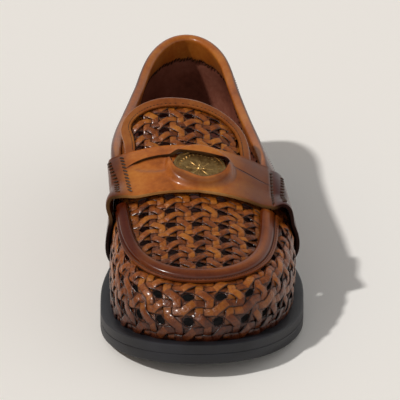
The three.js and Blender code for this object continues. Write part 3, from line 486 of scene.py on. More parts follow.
def wall_freedom(angle, distance, lengths):
    """1 where the weave stands free, 0 where the saddle, border, binding or back stay presses on it."""
    turn = turn_of(angle)
    part = np.clip(distance / lengths, 0, 1)
    rear = strap_angle(strap_rear, strap_rear_foot, part)
    front = strap_angle(strap_front, strap_front_foot, part)
    off_strap = np.maximum(ease(rear - turn, 0, 0.025), ease(turn - front, 0, 0.025))
    band = np.where(turn > (rear + front) / 2, border_outside, binding_outside)
    below = ease(lengths - distance, band - 0.4, band + 2.2)
    stay_half = stay_foot_width / 2 - (stay_foot_width - stay_top_width) / 2 * part
    beside_stay = ease(np.interp(turn, foot_angles, foot_girth) - stay_half, -0.4, 2.5)
    return off_strap * below * beside_stay


pair_rise, diagonal_rise = 0.6, 1.05


def weave_height(kind, x, y, sign):
    """Height of a strip's middle in the weave: x and y count cells."""
    if kind == "upright":
        return pair_rise * sign * np.sin(math.tau * y)
    if kind == "level":
        return -pair_rise * sign * np.sin(math.tau * x)
    wave = np.cos(math.tau * x) * sign
    return diagonal_rise * wave * (1.5 - 0.5 * wave**2)


strip_values = ("tone", "rise", "edge", "shade")
strip_profile = np.array([-1, -0.8, -0.45, 0, 0.45, 0.8, 1])


class Strips:
    """Strips gathered into one mesh: each is a fine grid laid along its path, with its values kept."""

    def __init__(self, seed):
        self.mesh = bmesh.new()
        self.layers = [self.mesh.verts.layers.float.new(key) for key in strip_values]
        self.random = np.random.default_rng(seed)

    def lay(self, points, normals, rise, shade, width):
        if len(points) < 3:
            return
        last = len(points) - 1
        side = unit(np.cross(normals, np.gradient(points, axis=0)))
        bends = 2 + len(points) // 4
        sway = self.random.normal(0, 0.2, bends)
        drift = np.interp(np.arange(len(points)), np.linspace(0, len(points), bends), sway)
        points = points + side * drift[:, None]
        grid = bmesh.ops.create_grid(self.mesh, x_segments=6, y_segments=last, size=0.5)["verts"]
        spots = np.array([v.co[:2] for v in grid]) + 0.5
        column = np.rint(spots[:, 0] * 6).astype(int)
        row = np.rint(spots[:, 1] * last).astype(int)
        t = strip_profile[column]
        half = np.broadcast_to(width, len(points))[row] / 2
        sunk = 0.45 * np.abs(t) ** 3 + 0.06 * (column == 3)
        where = points[row] + side[row] * (t * half)[:, None] - normals[row] * sunk[:, None]
        tone = self.random.random()
        for k, vert in enumerate(grid):
            vert.co = where[k] / 1000
            edge = 0.42 if column[k] == 3 else abs(t[k]) ** 2
            for layer, value in zip(self.layers, (tone, rise[row[k]], edge, shade[row[k]])):
                vert[layer] = value
        first_row = [np.argmax((column == k) & (row == 0)) for k in (0, 6)]
        crosswise = where[first_row[1]] - where[first_row[0]]
        if np.dot(np.cross(crosswise, points[1] - points[0]), normals[0]) < 0:
            bmesh.ops.reverse_faces(self.mesh, faces=list({f for v in grid for f in v.link_faces}))

    def finish(self, name, material, replaces=()):
        piece = finish_piece(name, self.mesh, material, 55, replaces)
        thick = piece.modifiers.new("thickness", "SOLIDIFY")
        thick.thickness, thick.offset = strip_thickness / 1000, -1


def runs_of(keep):
    """First and last+1 index of each unbroken run of kept points."""
    edges = np.flatnonzero(np.diff(np.concatenate([[0], keep.astype(int), [0]])))
    return edges.reshape(-1, 2)


def woven_finish(name, tones):
    """The strips' leather: each has its tone, and is darker with painted shade where it dives, at its edges,
    which are burnished dark and deepened by painted shade between the strips, and where its points keep
    shade.
    """
    material, tree, coords = new_finish(name)
    deep, body, bright = map(dye, tones.split())
    cloud = cloudy(tree, coords, 260.0, 5.0, 0.7)
    fibre = cloudy(tree, coords, 1500.0, 4.0, 0.6)
    dent = cloudy(tree, coords, 420.0, 3.0)
    level = math_of(tree, "MULTIPLY_ADD", kept(tree, "tone"), 0.28, math_of(tree, "MULTIPLY", cloud, 0.72))
    colour = ramp(tree, level, (0.3, deep), (0.48, body), (0.68, bright))
    dive_shade = stretch(tree, kept(tree, "rise"), -1.1, 0.5, 0.9, 0.0)
    rim = stretch(tree, kept(tree, "edge"), 0.38, 0.9, 0.0, 1.0)
    # Multiplied darker: painted shade where the strip dives, dark edges with painted shade between the
    # strips, and the shade its points keep.
    for amount, darker in ((dive_shade, "5c3a2a"), (rim, "4a2614"), (kept(tree, "shade"), "6c4838")):
        colour = mix(tree, amount, colour, dye(darker), "MULTIPLY")
    close_finish(tree, {
        "Base Color": colour,
        "Roughness": stretch(tree, fibre, 0.3, 0.7, 0.22, 0.44),
        "Normal": bumpy(tree, math_of(tree, "MULTIPLY_ADD", dent, 3.0, fibre), 0.6, 0.00035),
        "Specular IOR Level": 0.3,
        "Coat Weight": 0.3,
        "Coat Roughness": 0.17,
    })
    return material


woven_leather = woven_finish("woven_leather", "5a2a0c 8c4814 ae6820")
lining_end = 150.0
vamp, quarter = Strips(11), Strips(12)


def row_pitch(lengths, turn):
    """Height of a cell: two rows fill the wall below the border or the binding."""
    bound = turn > angle_at_top(strap_front)
    band = np.where(bound, border_outside - 0.6, binding_outside + 1)
    return np.minimum(cell, (lengths - feather_margin - band - 1.5) / 2)


along_of = lambda points: sole_length / 2 - middle_along - points[:, 1]


def over_sole(points, gap):
    """Keeps points from going down into the midsole."""
    points[:, 2] = np.maximum(points[:, 2], sole_top(along_of(points)) + clearance + gap)
    return points


def cell_step(angle, distance):
    """How far apart two near angles lie at a distance up the wall."""
    return np.linalg.norm(wall_at(angle + 0.004, distance)[0] - wall_at(angle - 0.004, distance)[0], axis=1)


def lay_wall_strip(kind, x, y, sign):
    """One strip of the wall: x counts cells round the foot from the heel, y cells up from the welt."""
    angle = angle_at_foot(x * wall_pitch)
    turn = turn_of(angle)
    lengths = wall_lengths(angle)[:, -1]
    distance = feather_margin + y * row_pitch(lengths, turn)
    free = wall_freedom(angle, distance, lengths)
    rise = weave_height(kind, x, y, sign) * (0.3 + 0.7 * free)
    inside = np.clip(distance, 0.2, lengths - 0.6)
    points, normals = wall_at(angle, inside, rise - strip_sunk)
    points = over_sole(points, 0.9)
    # Darker towards the welt, with painted shade beside the saddle, border, binding and back stay where they
    # press on the strips.
    low_down = np.clip(1.15 - inside / lengths * 1.5, 0, 1) * np.where(turn > 1.5, 0.85, 0.95)
    shade = low_down + 0.25 * (1 - free)
    width = strip_width * np.clip(cell_step(angle, inside) / cell_step(angle, 0 * inside), 0.72, 1.1)
    keep = (distance > 0) & (distance < lengths - 0.5)
    if kind == "level":
        width = np.full_like(width, strip_width)
        keep &= distance < lengths - np.where(turn > angle_at_top(strap_front), 1.0, 2.0)
    front = (top_along(angle) >= lining_end) & (turn > angle_at_top(lining_end) - 0.02)
    for strips, part in ((vamp, front), (quarter, ~front)):
        for a, b in runs_of(keep & part):
            cut = slice(max(a - 1, 0), b)
            strips.lay(points[cut], normals[cut], rise[cut], np.clip(shade[cut], 0, 1), width[cut])


offset = pair_gap / wall_pitch
tall = np.linspace(-0.2, 5.2, 44)
for k in range(wall_columns):
    for sign in (-1, 1):
        lay_wall_strip("upright", np.full_like(tall, k + sign * offset), tall, sign)
        x = k + 0.5 - sign * tall
        lay_wall_strip("diagonal", x, tall, sign)
around = np.linspace(0, wall_columns, wall_columns * 8 + 1)
for k in range(5):
    for sign in (-1, 1):
        lay_wall_strip("level", around, np.full_like(around, k + sign * pair_gap / row_height), sign)
vamp.finish("vamp_weave", woven_leather, ("upper",))

# Ground: the lower layer of the same weave, pulled tight behind the strips. It is made as a thin sheet with a
# round hole in the middle of each cell, and closes the small gaps between the strips.
ground_depth, ground_thickness = 1.75, 0.5


def lay_ground(name, across, along, hole_across, hole_along, lay):
    """A thin sheet with a hole in each cell; lay(x, y) gives its points and which of them to keep."""
    mesh = bmesh.new()
    bmesh.ops.create_grid(mesh, x_segments=6 * across, y_segments=6 * along, size=0.5)
    spots = np.array([v.co[:2] for v in mesh.verts]) + 0.5
    x, y = spots[:, 0] * across, spots[:, 1] * along
    off = np.stack([x % 1, y % 1], -1) - 0.5
    ring = np.rint(6 * np.abs(off).max(1))[:, None]
    rim = unit(off) * (hole_across, hole_along)
    warped = np.where(ring == 1, rim, np.where(ring == 2, rim * 0.5 + off * 0.65, off))
    points, keep = lay(x + warped[:, 0] - off[:, 0], y + warped[:, 1] - off[:, 1])
    cell_middle = {v for v, r in zip(mesh.verts, ring) if r == 0}
    lost = {v for v, k in zip(mesh.verts, keep) if not k}
    gone = [f for f in mesh.faces if any(v in cell_middle or v in lost for v in f.verts)]
    for vert, point in zip(mesh.verts, points / 1000):
        vert.co = point
    bmesh.ops.delete(mesh, geom=gone, context="FACES")
    # The sheet keeps the painted shade of a strip that dives deep, and some more painted shade.
    for key, value in zip(strip_values, (0.3, -0.9, 0.4, 0.3)):
        layer = mesh.verts.layers.float.new(key)
        for vert in mesh.verts:
            vert[layer] = value
    piece = finish_piece(name, mesh, woven_leather, 55, ("upper",))
    thick = piece.modifiers.new("thickness", "SOLIDIFY")
    thick.thickness, thick.offset = ground_thickness / 1000, 0


def wall_ground(x, y):
    angle = angle_at_foot(x * wall_pitch)
    lengths = wall_lengths(angle)[:, -1]
    distance = feather_margin + y * row_pitch(lengths, turn_of(angle))
    points = wall_at(angle, np.clip(distance, 0.2, lengths - 0.6), -ground_depth)[0]
    return over_sole(points, 0.4), distance < lengths - 0.8


lay_ground("wall_ground", wall_columns, 4, 0.185, 0.185, wall_ground)
quarter.finish("quarter_weave", woven_leather, ("upper",))

# Apron and tongue: one sheet of the same cane weave over the instep, arched across the foot. Its tongue
# passes under the saddle, and a line of holes runs down its middle.
tongue_end, throat = 137.5, 169.5
tongue_round = (19, 2.4)
crown = np.array([(0, 0.135), (0.35, 0.115), (0.65, 0.08), (1, 0.05)])
# Columns: share from the throat to the tongue's end, rise, half width, shift and twist.
tongue = np.array([
    (0, 0, 0.3, -0.014, 0), (0.3, 0.06, 0.3, -0.018, 0.02),
    (0.6, 0.12, 0.305, -0.035, 0.05), (1, 0.2, 0.305, -0.05, 0.1),
])


def apron_point(across, along, out=None):
    """A point of the sheet over the instep, set out from it along its normal."""
    share = np.maximum(0, (throat - along) / (throat - tongue_end))
    at = np.maximum(along, throat)
    nominal = ball_width * read(topline, 2, top_share(at))
    arch = heel_top * read(crown, 1, (at - throat) / (top_front - throat))
    lean = top_tilt(at) + heel_top * read(tongue, 4, share)
    edge = top_height(at) + heel_top * read(tongue, 1, share)
    ends = round_end(top_front - at, *toe_top_round)
    up = edge - lean * across / ball_width + arch * (ends**2 - (across / nominal) ** 2)
    point = place(top_centre(at) + across, along, up)
    if out is None:
        return point
    return point + apron_normal(across, along) * np.broadcast_to(out, np.shape(point)[:-1])[..., None]


def apron_normal(across, along):
    side = apron_point(across + 0.5, along) - apron_point(across - 0.5, along)
    back = apron_point(across, along - 0.5) - apron_point(across, along + 0.5)
    return unit(np.cross(side, back))


seam_turns = np.linspace(angle_at_top(throat), math.tau - angle_at_top(throat), 161)
seam_line = top_edge(seam_turns)[:, :2]


def tongue_middle(along):
    """Middle and half width of the tongue."""
    share = (throat - along) / (throat - tongue_end)
    half = ball_width * read(tongue, 2, share) * round_end(along - tongue_end, *tongue_round)
    return ball_width * read(tongue, 3, share), half


# The tongue's outline, with its points closer together near the tip.
near_tip = tongue_end + 3 * (1 - np.linspace(0, 1, 20)) ** 2
tongue_run = np.concatenate([np.linspace(throat, tongue_end + 3, 40), near_tip])
middle, half = tongue_middle(tongue_run)
one_side = place(top_centre(throat) + middle - half, tongue_run, 0)
other_side = place(top_centre(throat) + middle + half, tongue_run, 0)
tongue_line = np.concatenate([one_side, other_side[::-1]])[:, :2]


def from_edge(across, along):
    """Distance in plan from the edge of the apron or tongue, under 0 outside it."""
    here = apron_point(across, along)[:, :2]
    to_seam = np.linalg.norm(here[:, None] - seam_line[None], axis=2).min(1)
    to_tongue = np.linalg.norm(here[:, None] - tongue_line[None], axis=2).min(1)
    on_tongue = along < throat
    middle, half = tongue_middle(along)
    in_tongue = (np.abs(across - middle) < half) & (along > tongue_end)
    in_apron = (np.abs(across) < top_half(along)) & (along < top_front)
    inside = np.where(on_tongue, in_tongue, in_apron)
    return np.where(on_tongue, to_tongue, to_seam) * np.where(inside, 1, -1)


apron_pitch, apron_row, apron_edge = 13.6, 10.2, 0.8
apron_widths = {"upright": 4.3, "level": 3.6, "diagonal": 4.1}
upright_gap, level_gap = 2.2, 1.8
fine = np.arange(top_front + 4, tongue_end - 8, -0.25)
ridge_steps = np.linalg.norm(np.diff(apron_point(0 * fine, fine), axis=0), axis=1)
climb = np.concatenate([[0], np.cumsum(ridge_steps)]) / apron_row
along_at = lambda y: np.interp(y, climb, fine)
apron_strips, tongue_strips = Strips(21), Strips(22)


def lay_apron_strip(kind, x, y, sign):
    """One strip of the apron: x counts cells across from the middle column of holes, y cells back."""
    across, along = (x - 0.5) * apron_pitch, along_at(y)
    edge = from_edge(across, along)
    on_tongue = along < (strap_front + strap_rear) / 2
    bound = np.where(on_tongue, 4.0, border_inside - 0.4)
    free = ease(edge, bound, np.where(on_tongue, 6.0, border_inside + 2))
    free *= np.maximum(ease(along, strap_front, strap_front + 2), ease(-along, -strap_rear, 2 - strap_rear))
    rise = weave_height(kind, x, y, sign) * (0.3 + 0.7 * free)
    points = apron_point(across, along, rise - strip_sunk)
    normals = apron_normal(across, along)
    keep = edge > apron_edge
    # Painted shade beside the border and saddle where they press on the strips, and darker near the edge
    # towards the toe.
    shade = 0.25 * (1 - free) + 0.45 * (1 - ease(edge, 2, 16)) * ease(along, 215, 262)
    for strips, part in ((apron_strips, ~on_tongue), (tongue_strips, on_tongue)):
        for a, b in runs_of(keep & part):
            cut = slice(max(a - 1, 0), b)
            strips.lay(points[cut], normals[cut], rise[cut], shade[cut], apron_widths[kind])


long_way, wide_way = np.linspace(0, climb[-1], 100), np.linspace(-3.2, 4.2, 70)
for sign in (-1, 1):
    for k in range(-3, 5):
        x = k + sign * upright_gap / apron_pitch
        lay_apron_strip("upright", np.full_like(long_way, x), long_way, sign)
    for k in range(0, 16):
        y = k + sign * level_gap / apron_row
        lay_apron_strip("level", wide_way, np.full_like(wide_way, y), sign)
    for k in range(-4, 21):
        y = k + 0.5 - sign * wide_way
        on_sheet = (y > 0) & (y < climb[-1])
        lay_apron_strip("diagonal", wide_way[on_sheet], y[on_sheet], sign)
apron_strips.finish("apron_weave", woven_leather, ("upper",))
ground_cells = 9


def apron_ground(x, y):
    across, along = (x - ground_cells / 2) * apron_pitch, along_at(y)
    return apron_point(across, along, -ground_depth), from_edge(across, along) > apron_edge


lay_ground("apron_ground", ground_cells, int(climb[-1]), 0.215, 0.19, apron_ground)
tongue_strips.finish("tongue_weave", woven_leather, ("upper",))

# Quarter lining: soft reddish-brown leather glued inside the heel end of the wall, from the insole to the
# collar's facing, whose edge lies over it.
lining_leather = leather_finish("lining_leather", "552e23 7a4636 955e4c", rough=(0.5, 0.7), wax=0.0)
lining_turn = float(angle_at_top(np.array(lining_end + 14)))


def lay_lining(u, v, w):
    angle = lining_turn * (2 * u - 1)
    turn = np.abs(angle)
    lengths = wall_lengths(angle)[:, -1]
    distance = 0.3 + (lengths - 2.5 - 0.3) * v
    thick = np.where(lengths - distance < binding_inside + 1, 0.1, 0.6)
    return wall_at(angle, distance, -wall - 0.45 - thick * w)[0]


lining = slab(110, 20, (), lay_lining)
finish_piece("quarter_lining", lining, lining_leather, 60, ("upper",))

# Collar binding: a strip of smooth tan leather folded over the raw top of the quarters, from one side of the
# saddle round the heel to the other, with a wide facing inside.
tan_leather = leather_finish("tan_leather", "7d3c10 ab5d1d c67e32", shade_and_wear="5a2a08")
leather = 1.3


def wall_frame(angle, down, out, end, foot_at):
    """Point over the wall a distance down from the top edge, its ends cut along the saddle's own edge."""
    lengths = wall_lengths(angle)[:, -1]
    near, _ = wall_at(angle, lengths - 1.0)
    rise = unit(top_edge(angle) - near)
    slope = float(angle_at_sole(np.array(foot_at))) - end
    along_end = np.exp(-np.abs(turn_of(np.abs(angle)) - end) / 0.05)
    turned = angle - side_of(angle) * slope * along_end * np.clip(down / lengths, 0, 1) ** strap_curve
    point, normal = wall_at(turned, wall_lengths(turned)[:, -1] - np.maximum(down, 0))
    return point + normal * out[:, None] + rise * np.maximum(-down, 0)[:, None], normal


collar_end = float(angle_at_top(np.array(strap_rear - 0.8)))


def fold_section(u, w, outer, inner, crest):
    """Down and out from the edge that a folded strip covers: u runs from its outer flap to its inner one."""
    fold_from, fold_to = 0.32, 0.66
    turn = np.clip((u - fold_from) / (fold_to - fold_from), 0, 1) * math.pi
    lift = clearance + leather * w
    on_fold = -(0.2 + crest * w) * np.sin(turn)
    past_fold = np.where(u > fold_to, inner * (u - fold_to) / (1 - fold_to), on_fold)
    down = np.where(u < fold_from, outer * (1 - u / fold_from), past_fold)
    out = -wall / 2 + (wall / 2 + lift) * np.cos(turn)
    thin = 0.35 * w * (np.exp(-((u / 0.03) ** 2)) + np.exp(-(((1 - u) / 0.02) ** 2)))
    return down, np.where(u < 0.5, out - thin, out + thin)


def lay_collar(u, v, w):
    angle = collar_end * (2 * v - 1)
    down, out = fold_section(u, w, binding_outside, binding_inside, 1.5)
    uneven = np.where(u > 0.97, 0.5 * np.sin(angle * 130) + 0.6 * np.sin(angle * 31), 0)
    return wall_frame(angle, down + uneven, out, collar_end, strap_rear_foot)[0]


collar = slab(26, 260, (), lay_collar)
rim_line = top_edge(np.linspace(0, math.tau, 321))


def beside_rim(p):
    """Distance in plan from the line of the collar and the apron's seam, with one sign on each side of it."""
    gap = p[:, None, :2] - rim_line[None, :, :2]
    nearest = np.argmin((gap**2).sum(2), axis=1)
    way = np.roll(rim_line, -1, 0)[nearest, :2] - np.roll(rim_line, 1, 0)[nearest, :2]
    off = gap[np.arange(len(p)), nearest]
    return (off[:, 1] * way[:, 0] - off[:, 0] * way[:, 1]) / np.maximum(np.linalg.norm(way, axis=1), 1e-9)


behind_heel = np.array([[0.0, 160.0, 60.0]])
outward_sign = 1 if beside_rim(behind_heel)[0] > 0 else -1
outside_rim = lambda p: outward_sign * beside_rim(p)


def collar_shade(p):
    """Darker outside the rim, from the crest down, and at the ends beside the tongue."""
    return np.clip(0.12 + 0.85 * ease(outside_rim(p), -0.4, 1.0) + 0.3 * ease(-p[:, 1], 2, 20), 0, 0.9)


darken(collar, collar_shade)
finish_piece("collar_binding_leather", collar, tan_leather, 60, ("collar_binding",))

# Apron border: a rolled strip of smooth tan leather over the seam of apron and vamp, with a flat flange
# stitched down outside it, from one side of the saddle round the toe to the other.
border_start = float(angle_at_top(np.array(strap_front + 0.8)))
roll_start, border_under = -2.2, 0.25


def seam_frame(angle, inside):
    """Point and normal beside the apron's seam: inside is positive on the apron, negative on the wall."""
    way = top_edge(angle + 0.02) - top_edge(angle - 0.02)
    way[:, 2] = 0
    way = unit(way)
    inward = np.stack([-way[:, 1], way[:, 0], 0 * angle], -1)
    p = top_edge(angle) + inward * np.maximum(inside, 0)[:, None]
    along = along_of(p)
    across = p[:, 0] + middle_across - top_centre(np.maximum(along, throat))
    on_apron, apron_way = apron_point(across, along), apron_normal(across, along)
    down = np.maximum(-inside, 0)
    on_wall, wall_way = wall_frame(angle, down, 0 * angle, border_start, strap_front_foot)
    blend = ease(inside, -4.5, 4.5)[:, None]
    return np.where(inside[:, None] > 0, on_apron, on_wall), unit(wall_way * (1 - blend) + apron_way * blend)


def lay_border(u, v, w):
    angle = border_start + (math.tau - 2 * border_start) * v
    width = border_inside - 1.6 * (1 - ease(angle, 2.5, 3.1))
    inside = -border_outside + (border_outside + width) * u
    roll = np.clip((inside - roll_start) / (width - roll_start), 0, 1)
    flange = 1.25 - 0.35 * np.exp(-((inside + 2.3) ** 2) / 0.25)
    arched = 0.9 + 2.0 * np.sqrt(np.clip(1 - (2 * roll - 1) ** 2, 0, 1)) ** 0.8
    high = np.where(inside < roll_start, flange, arched)
    high = high - 0.3 * np.exp(-(((inside + border_outside) / 0.35) ** 2)) + 0.3
    point, normal = seam_frame(angle, inside)
    return point + normal * np.where(w < 0.01, border_under, high)[:, None]


def border_shade_and_highlight(p):
    """Darkest along both edges and on the big-toe side, with a painted highlight that makes the crest of the
    roll paler.
    """
    out = outside_rim(p)
    # The crest's painted highlight, stronger towards the little-toe side.
    crest = np.exp(-(((out + 1.2) / 1.8) ** 2)) * (0.35 + 0.65 * ease(p[:, 0], -34, 30))
    big_toe_side = ease(-p[:, 0], 26, 36) * ease(p[:, 1], -110, -80)
    return np.clip(0.85 - 0.15 * ease(out, 2.4, 3.2) - 0.42 * crest + 0.2 * big_toe_side, 0, 0.95)


border = slab(24, 220, (), lay_border)
darken(border, border_shade_and_highlight)
border_leather = leather_finish(
    "border_leather", "7d3c10 a0541a b8702a", rough=(0.26, 0.4), shade_and_wear="6a340e", wax=0.45)
finish_piece("apron_border_leather", border, border_leather, 60, ("apron_border",))

# Tongue binding: the same tan strip folded over the raw edge of the tongue, from the saddle round its tip and
# back, and stitched through.
tongue_binding_width, straight_part = 4.2, 0.35


def tongue_edge(share):
    """A point of the tongue's edge in plan, its share counted from the saddle round the tip and back."""
    side = np.where(share < 0.5, -1.0, 1.0)
    run = 2 * np.minimum(share, 1 - share)
    start = strap_rear - clearance
    length, fullness = tongue_round
    straight = start - tongue_end - length
    turn = np.clip((run - straight_part) / (1 - straight_part), 0, 1) * math.pi / 2
    bend = np.cos(turn) ** (2 / fullness)
    at_tip = tongue_end + length * (1 - np.sin(turn) ** (2 / fullness))
    along = np.where(run > straight_part, at_tip, start - run / straight_part * straight)
    back = (throat - along) / (throat - tongue_end)
    return np.stack([ball_width * (read(tongue, 3, back) + side * read(tongue, 2, back) * bend), along], -1)


def beside_tongue_edge(share, inward):
    """A spot beside the tongue's edge, moved in over the tongue."""
    way = unit(tongue_edge(np.minimum(share + 0.01, 1)) - tongue_edge(np.maximum(share - 0.01, 0)))
    return tongue_edge(share) + np.stack([-way[:, 1], way[:, 0]], -1) * inward[:, None]


def lay_tongue_binding(u, v, w):
    down, out = fold_section(u, w, tongue_binding_width, tongue_binding_width, 1.3)
    spot = beside_tongue_edge(v, down)
    return apron_point(spot[:, 0], spot[:, 1], out)


edging = slab(22, 150, (), lay_tongue_binding)
darken(edging, lambda p: 0.45 + 0 * p[:, 0])
finish_piece("tongue_binding_leather", edging, tan_leather, 60, ("tongue_binding",))

# Tongue gusset: a soft strip of the same leather that closes the gap from the tongue to the collar on the
# big-toe side. It is sewn under both their edges.
gusset_thickness, gusset_rear = 0.8, 146


def lay_gusset(u, v, w):
    along = gusset_rear + (strap_rear + 2 - gusset_rear) * v
    middle, half = tongue_middle(np.minimum(along, throat))
    beside_tongue = apron_point(middle - half + 2.5, along, -1.6 - gusset_thickness * w)
    angle = angle_at_top(along)
    beside_collar = wall_at(angle, wall_lengths(angle)[:, -1] - 1.5, -3.7 - gusset_thickness * w)[0]
    return beside_tongue + (beside_collar - beside_tongue) * u[:, None]


gusset = slab(8, 16, (), lay_gusset)
darken(gusset, lambda p: 0.6 + 0 * p[:, 0])
finish_piece("tongue_gusset", gusset, tan_leather, 60, ("upper",))

# Coin: a plain brass token with a raised rim, struck with a ring of short bars and a small rosette. It lies
# on the backing under the slit.
coin_across, coin_diameter, coin_thickness = 0.5 - float(top_centre(np.array(strap_centre))), 28.0, 1.8
coin_spot = np.array([coin_across]), np.array([strap_centre])
coin_up = apron_normal(*coin_spot)[0]
coin_seat = apron_point(*coin_spot)[0] + coin_up * 1.4
coin_top = coin_seat + coin_up * coin_thickness


def brass_finish(name):
    """Worn brass, from dull brown to bright in small clouds."""
    material, tree, coords = new_finish(name)
    cloud = cloudy(tree, coords, 260.0, 6.0, 0.7)
    close_finish(tree, {
        "Base Color": ramp(tree, cloud, (0.35, dye("7a5a30")), (0.55, dye("b8935a")), (0.8, dye("e0c080"))),
        "Roughness": stretch(tree, cloud, 0.3, 0.7, 0.45, 0.25),
        "Metallic": 0.9,
        "Normal": bumpy(tree, cloud, 0.2, 0.0001),
    })
    return material


coin_brass = brass_finish("coin_brass")
coin_mesh = bmesh.new()
bmesh.ops.create_circle(coin_mesh, cap_ends=True, segments=96, radius=coin_diameter / 2000 - 0.0003)
top = coin_mesh.faces[:]
# The blank's steps, raised in millimetres and grown in metres: rounded edge, rim, and the sunk field.
coin_steps = ((0.3, 0.0003), (1.2, 0.0), (0.3, -0.0003), (0.0, -0.0013), (-0.4, -0.0002), (0.0, -0.0012))
for step, (rise_by, grow) in enumerate(coin_steps):
    if rise_by == 0.0:
        bmesh.ops.inset_region(coin_mesh, faces=top, thickness=-grow, use_even_offset=True)
        continue
    grown = bmesh.ops.extrude_face_region(coin_mesh, geom=top)["geom"]
    if step > 0:
        bmesh.ops.delete(coin_mesh, geom=top, context="FACES_ONLY")
    top = [f for f in grown if isinstance(f, bmesh.types.BMFace)]
    verts = [v for v in grown if isinstance(v, bmesh.types.BMVert)]
    bmesh.ops.translate(coin_mesh, vec=(0, 0, rise_by / 1000), verts=verts)
    radius = verts[0].co.xy.length
    bmesh.ops.scale(coin_mesh, vec=((radius + grow) / radius, (radius + grow) / radius, 1), verts=verts)
# The struck marks: how many, how far out, how large, their length, width and height for that, and how fine.
field_height = 0.0014
coin_marks = (
    (30, 0.0102, 0.0005, (2.0, 1.0, 0.9, 1), 1),
    (8, 0.0042, 0.001, (3.0, 1.0, 0.5, 1), 2),
    (1, 0.0, 0.0016, (1, 1, 0.5, 1), 2),
)
for count, reach, size, shape, fineness in coin_marks:
    for k in range(count):
        turn = Matrix.Rotation(k * math.tau / count, 4, "Z") @ Matrix.Translation((reach, 0, field_height))
        mark = turn @ Matrix.Diagonal(shape)
        bmesh.ops.create_icosphere(coin_mesh, subdivisions=fineness, radius=size, matrix=mark)
lean = Vector((0, 0, 1)).rotation_difference(Vector(coin_up)).to_matrix().to_4x4()
seat = Matrix.Translation(Vector(coin_seat / 1000)) @ lean
bmesh.ops.transform(coin_mesh, matrix=seat, verts=coin_mesh.verts)
bmesh.ops.recalc_face_normals(coin_mesh, faces=coin_mesh.faces)
finish_piece("coin_token", coin_mesh, coin_brass, 35, ("coin",))

# Strap backing: a thin layer of tan leather sewn under the slit, which carries the coin and shows beside it.
# It reaches past both ends of the slit and stays inside the saddle's edges.
backing_leather = leather_finish("backing_leather", "8a4a18 b0642a c27c40")
backing_width, backing_length, backing_thickness = 70, 24, 0.8


def lay_backing(u, v, w):
    across = coin_across + backing_width * (u - 0.5)
    return apron_point(across, strap_centre + backing_length * (v - 0.5), clearance + backing_thickness * w)


backing = slab(48, 14, (), lay_backing)
finish_piece("strap_backing_leather", backing, backing_leather, 50, ("strap_backing",))

# Saddle: one smooth tan strap from welt to welt over the instep, moulded over the coin, with a curved slit
# that shows it. Its cut edges are left pale, and its ends are sewn down and lasted under the welt.
edge_leather = leather_finish(
    "edge_leather", "9c6430 c08a50 d4a468", rough=(0.5, 0.7), shade_and_wear="2a1206", wax=0.0)
strap_thickness, slit_reach = 1.8, 0.94
# The slit's lips in coin diameters: across, and towards the toe for the rear lip and the front lip.
slit = np.array([
    (-1.27, -0.2, -0.2), (-1.17, -0.27, -0.255), (-1.0, -0.33, -0.31), (-0.8, -0.355, -0.332),
    (-0.64, -0.36, -0.335), (-0.55, -0.36, -0.25), (-0.47, -0.36, 0.05), (-0.4, -0.36, 0.14),
    (-0.25, -0.36, 0.22), (-0.08, -0.355, 0.315), (0.06, -0.345, 0.335), (0.22, -0.32, 0.26),
    (0.38, -0.287, 0.12), (0.47, -0.268, -0.06), (0.53, -0.25, -0.23), (0.8, -0.17, -0.158),
    (1.07, -0.095, -0.085), (1.2, -0.07, -0.07),
])
# The crease in front of the slit beside the coin, in coin diameters.
crease = np.array([(-1.3, -0.2), (-1.17, -0.1), (-1.0, 0.0), (-0.8, 0.06), (-0.62, 0.08), (-0.5, 0.08)])
wall_run = 0.29


def strap_place(u, along, out):
    """A point on the saddle and the way out of it: u runs from the big-toe welt over the instep to the other
    welt, and along is where its line crosses the instep."""
    share = (strap_front - along) / strap_width
    foot_at = strap_foot_centre + strap_foot * (0.5 - share)
    side = np.where(u < 0.5, 1.0, -1.0)
    run = np.minimum(u, 1 - u)
    part = np.clip(run / wall_run, 0, 1)
    angle = strap_angle(along, foot_at, part)
    angle = np.where(side > 0, angle, math.tau - angle)
    lengths = wall_lengths(angle)[:, -1]
    on_wall, wall_way = wall_at(angle, 0.3 + (lengths - 0.3) * part)
    half = top_half(along)
    across = half * np.clip(2 * (u - wall_run) / (1 - 2 * wall_run) - 1, -1, 1)
    on_apron, apron_way = apron_point(across, along), apron_normal(across, along)
    beside = np.where(run < wall_run, -(1 - part) * lengths, half - np.abs(across))
    blend = ease(beside, -7, 7)[:, None]
    normal = unit(wall_way * (1 - blend) + apron_way * blend)
    point = np.where((run < wall_run)[:, None], on_wall, on_apron)
    backed = 1 - ease(np.abs(across - coin_across), 36, 41)
    rest = clearance + 1.1 * np.where(run < wall_run, 0, backed)
    off = point - coin_top
    above = off @ coin_up
    flat = np.linalg.norm(off - above[:, None] * coin_up, axis=1)
    over = -above / (normal @ coin_up) + 1.5 * clearance
    near = 1 - ease(flat, coin_diameter / 2 + 0.3, coin_diameter / 2 + 4.5)
    lift = np.where(flat > coin_diameter, rest, rest + (np.maximum(over, rest) - rest) * near)
    # The strap bridges the ends of border and collar, so that its front corners stand square off the upper.
    corner = np.exp(-(((run - np.where(side > 0, 0.285, 0.258)) / 0.033) ** 2))
    front = ease(along, strap_front - 15, strap_front)
    return point + normal * (lift + out + corner * (2.0 + 4.4 * front) + 0.7 * front)[:, None], normal


def beside_coin(u):
    """How far across from the coin the strap's middle line is, in coin diameters."""
    across = top_half(np.full_like(u, strap_centre)) * (2 * (u - wall_run) / (1 - 2 * wall_run) - 1)
    return (across - coin_across) / coin_diameter


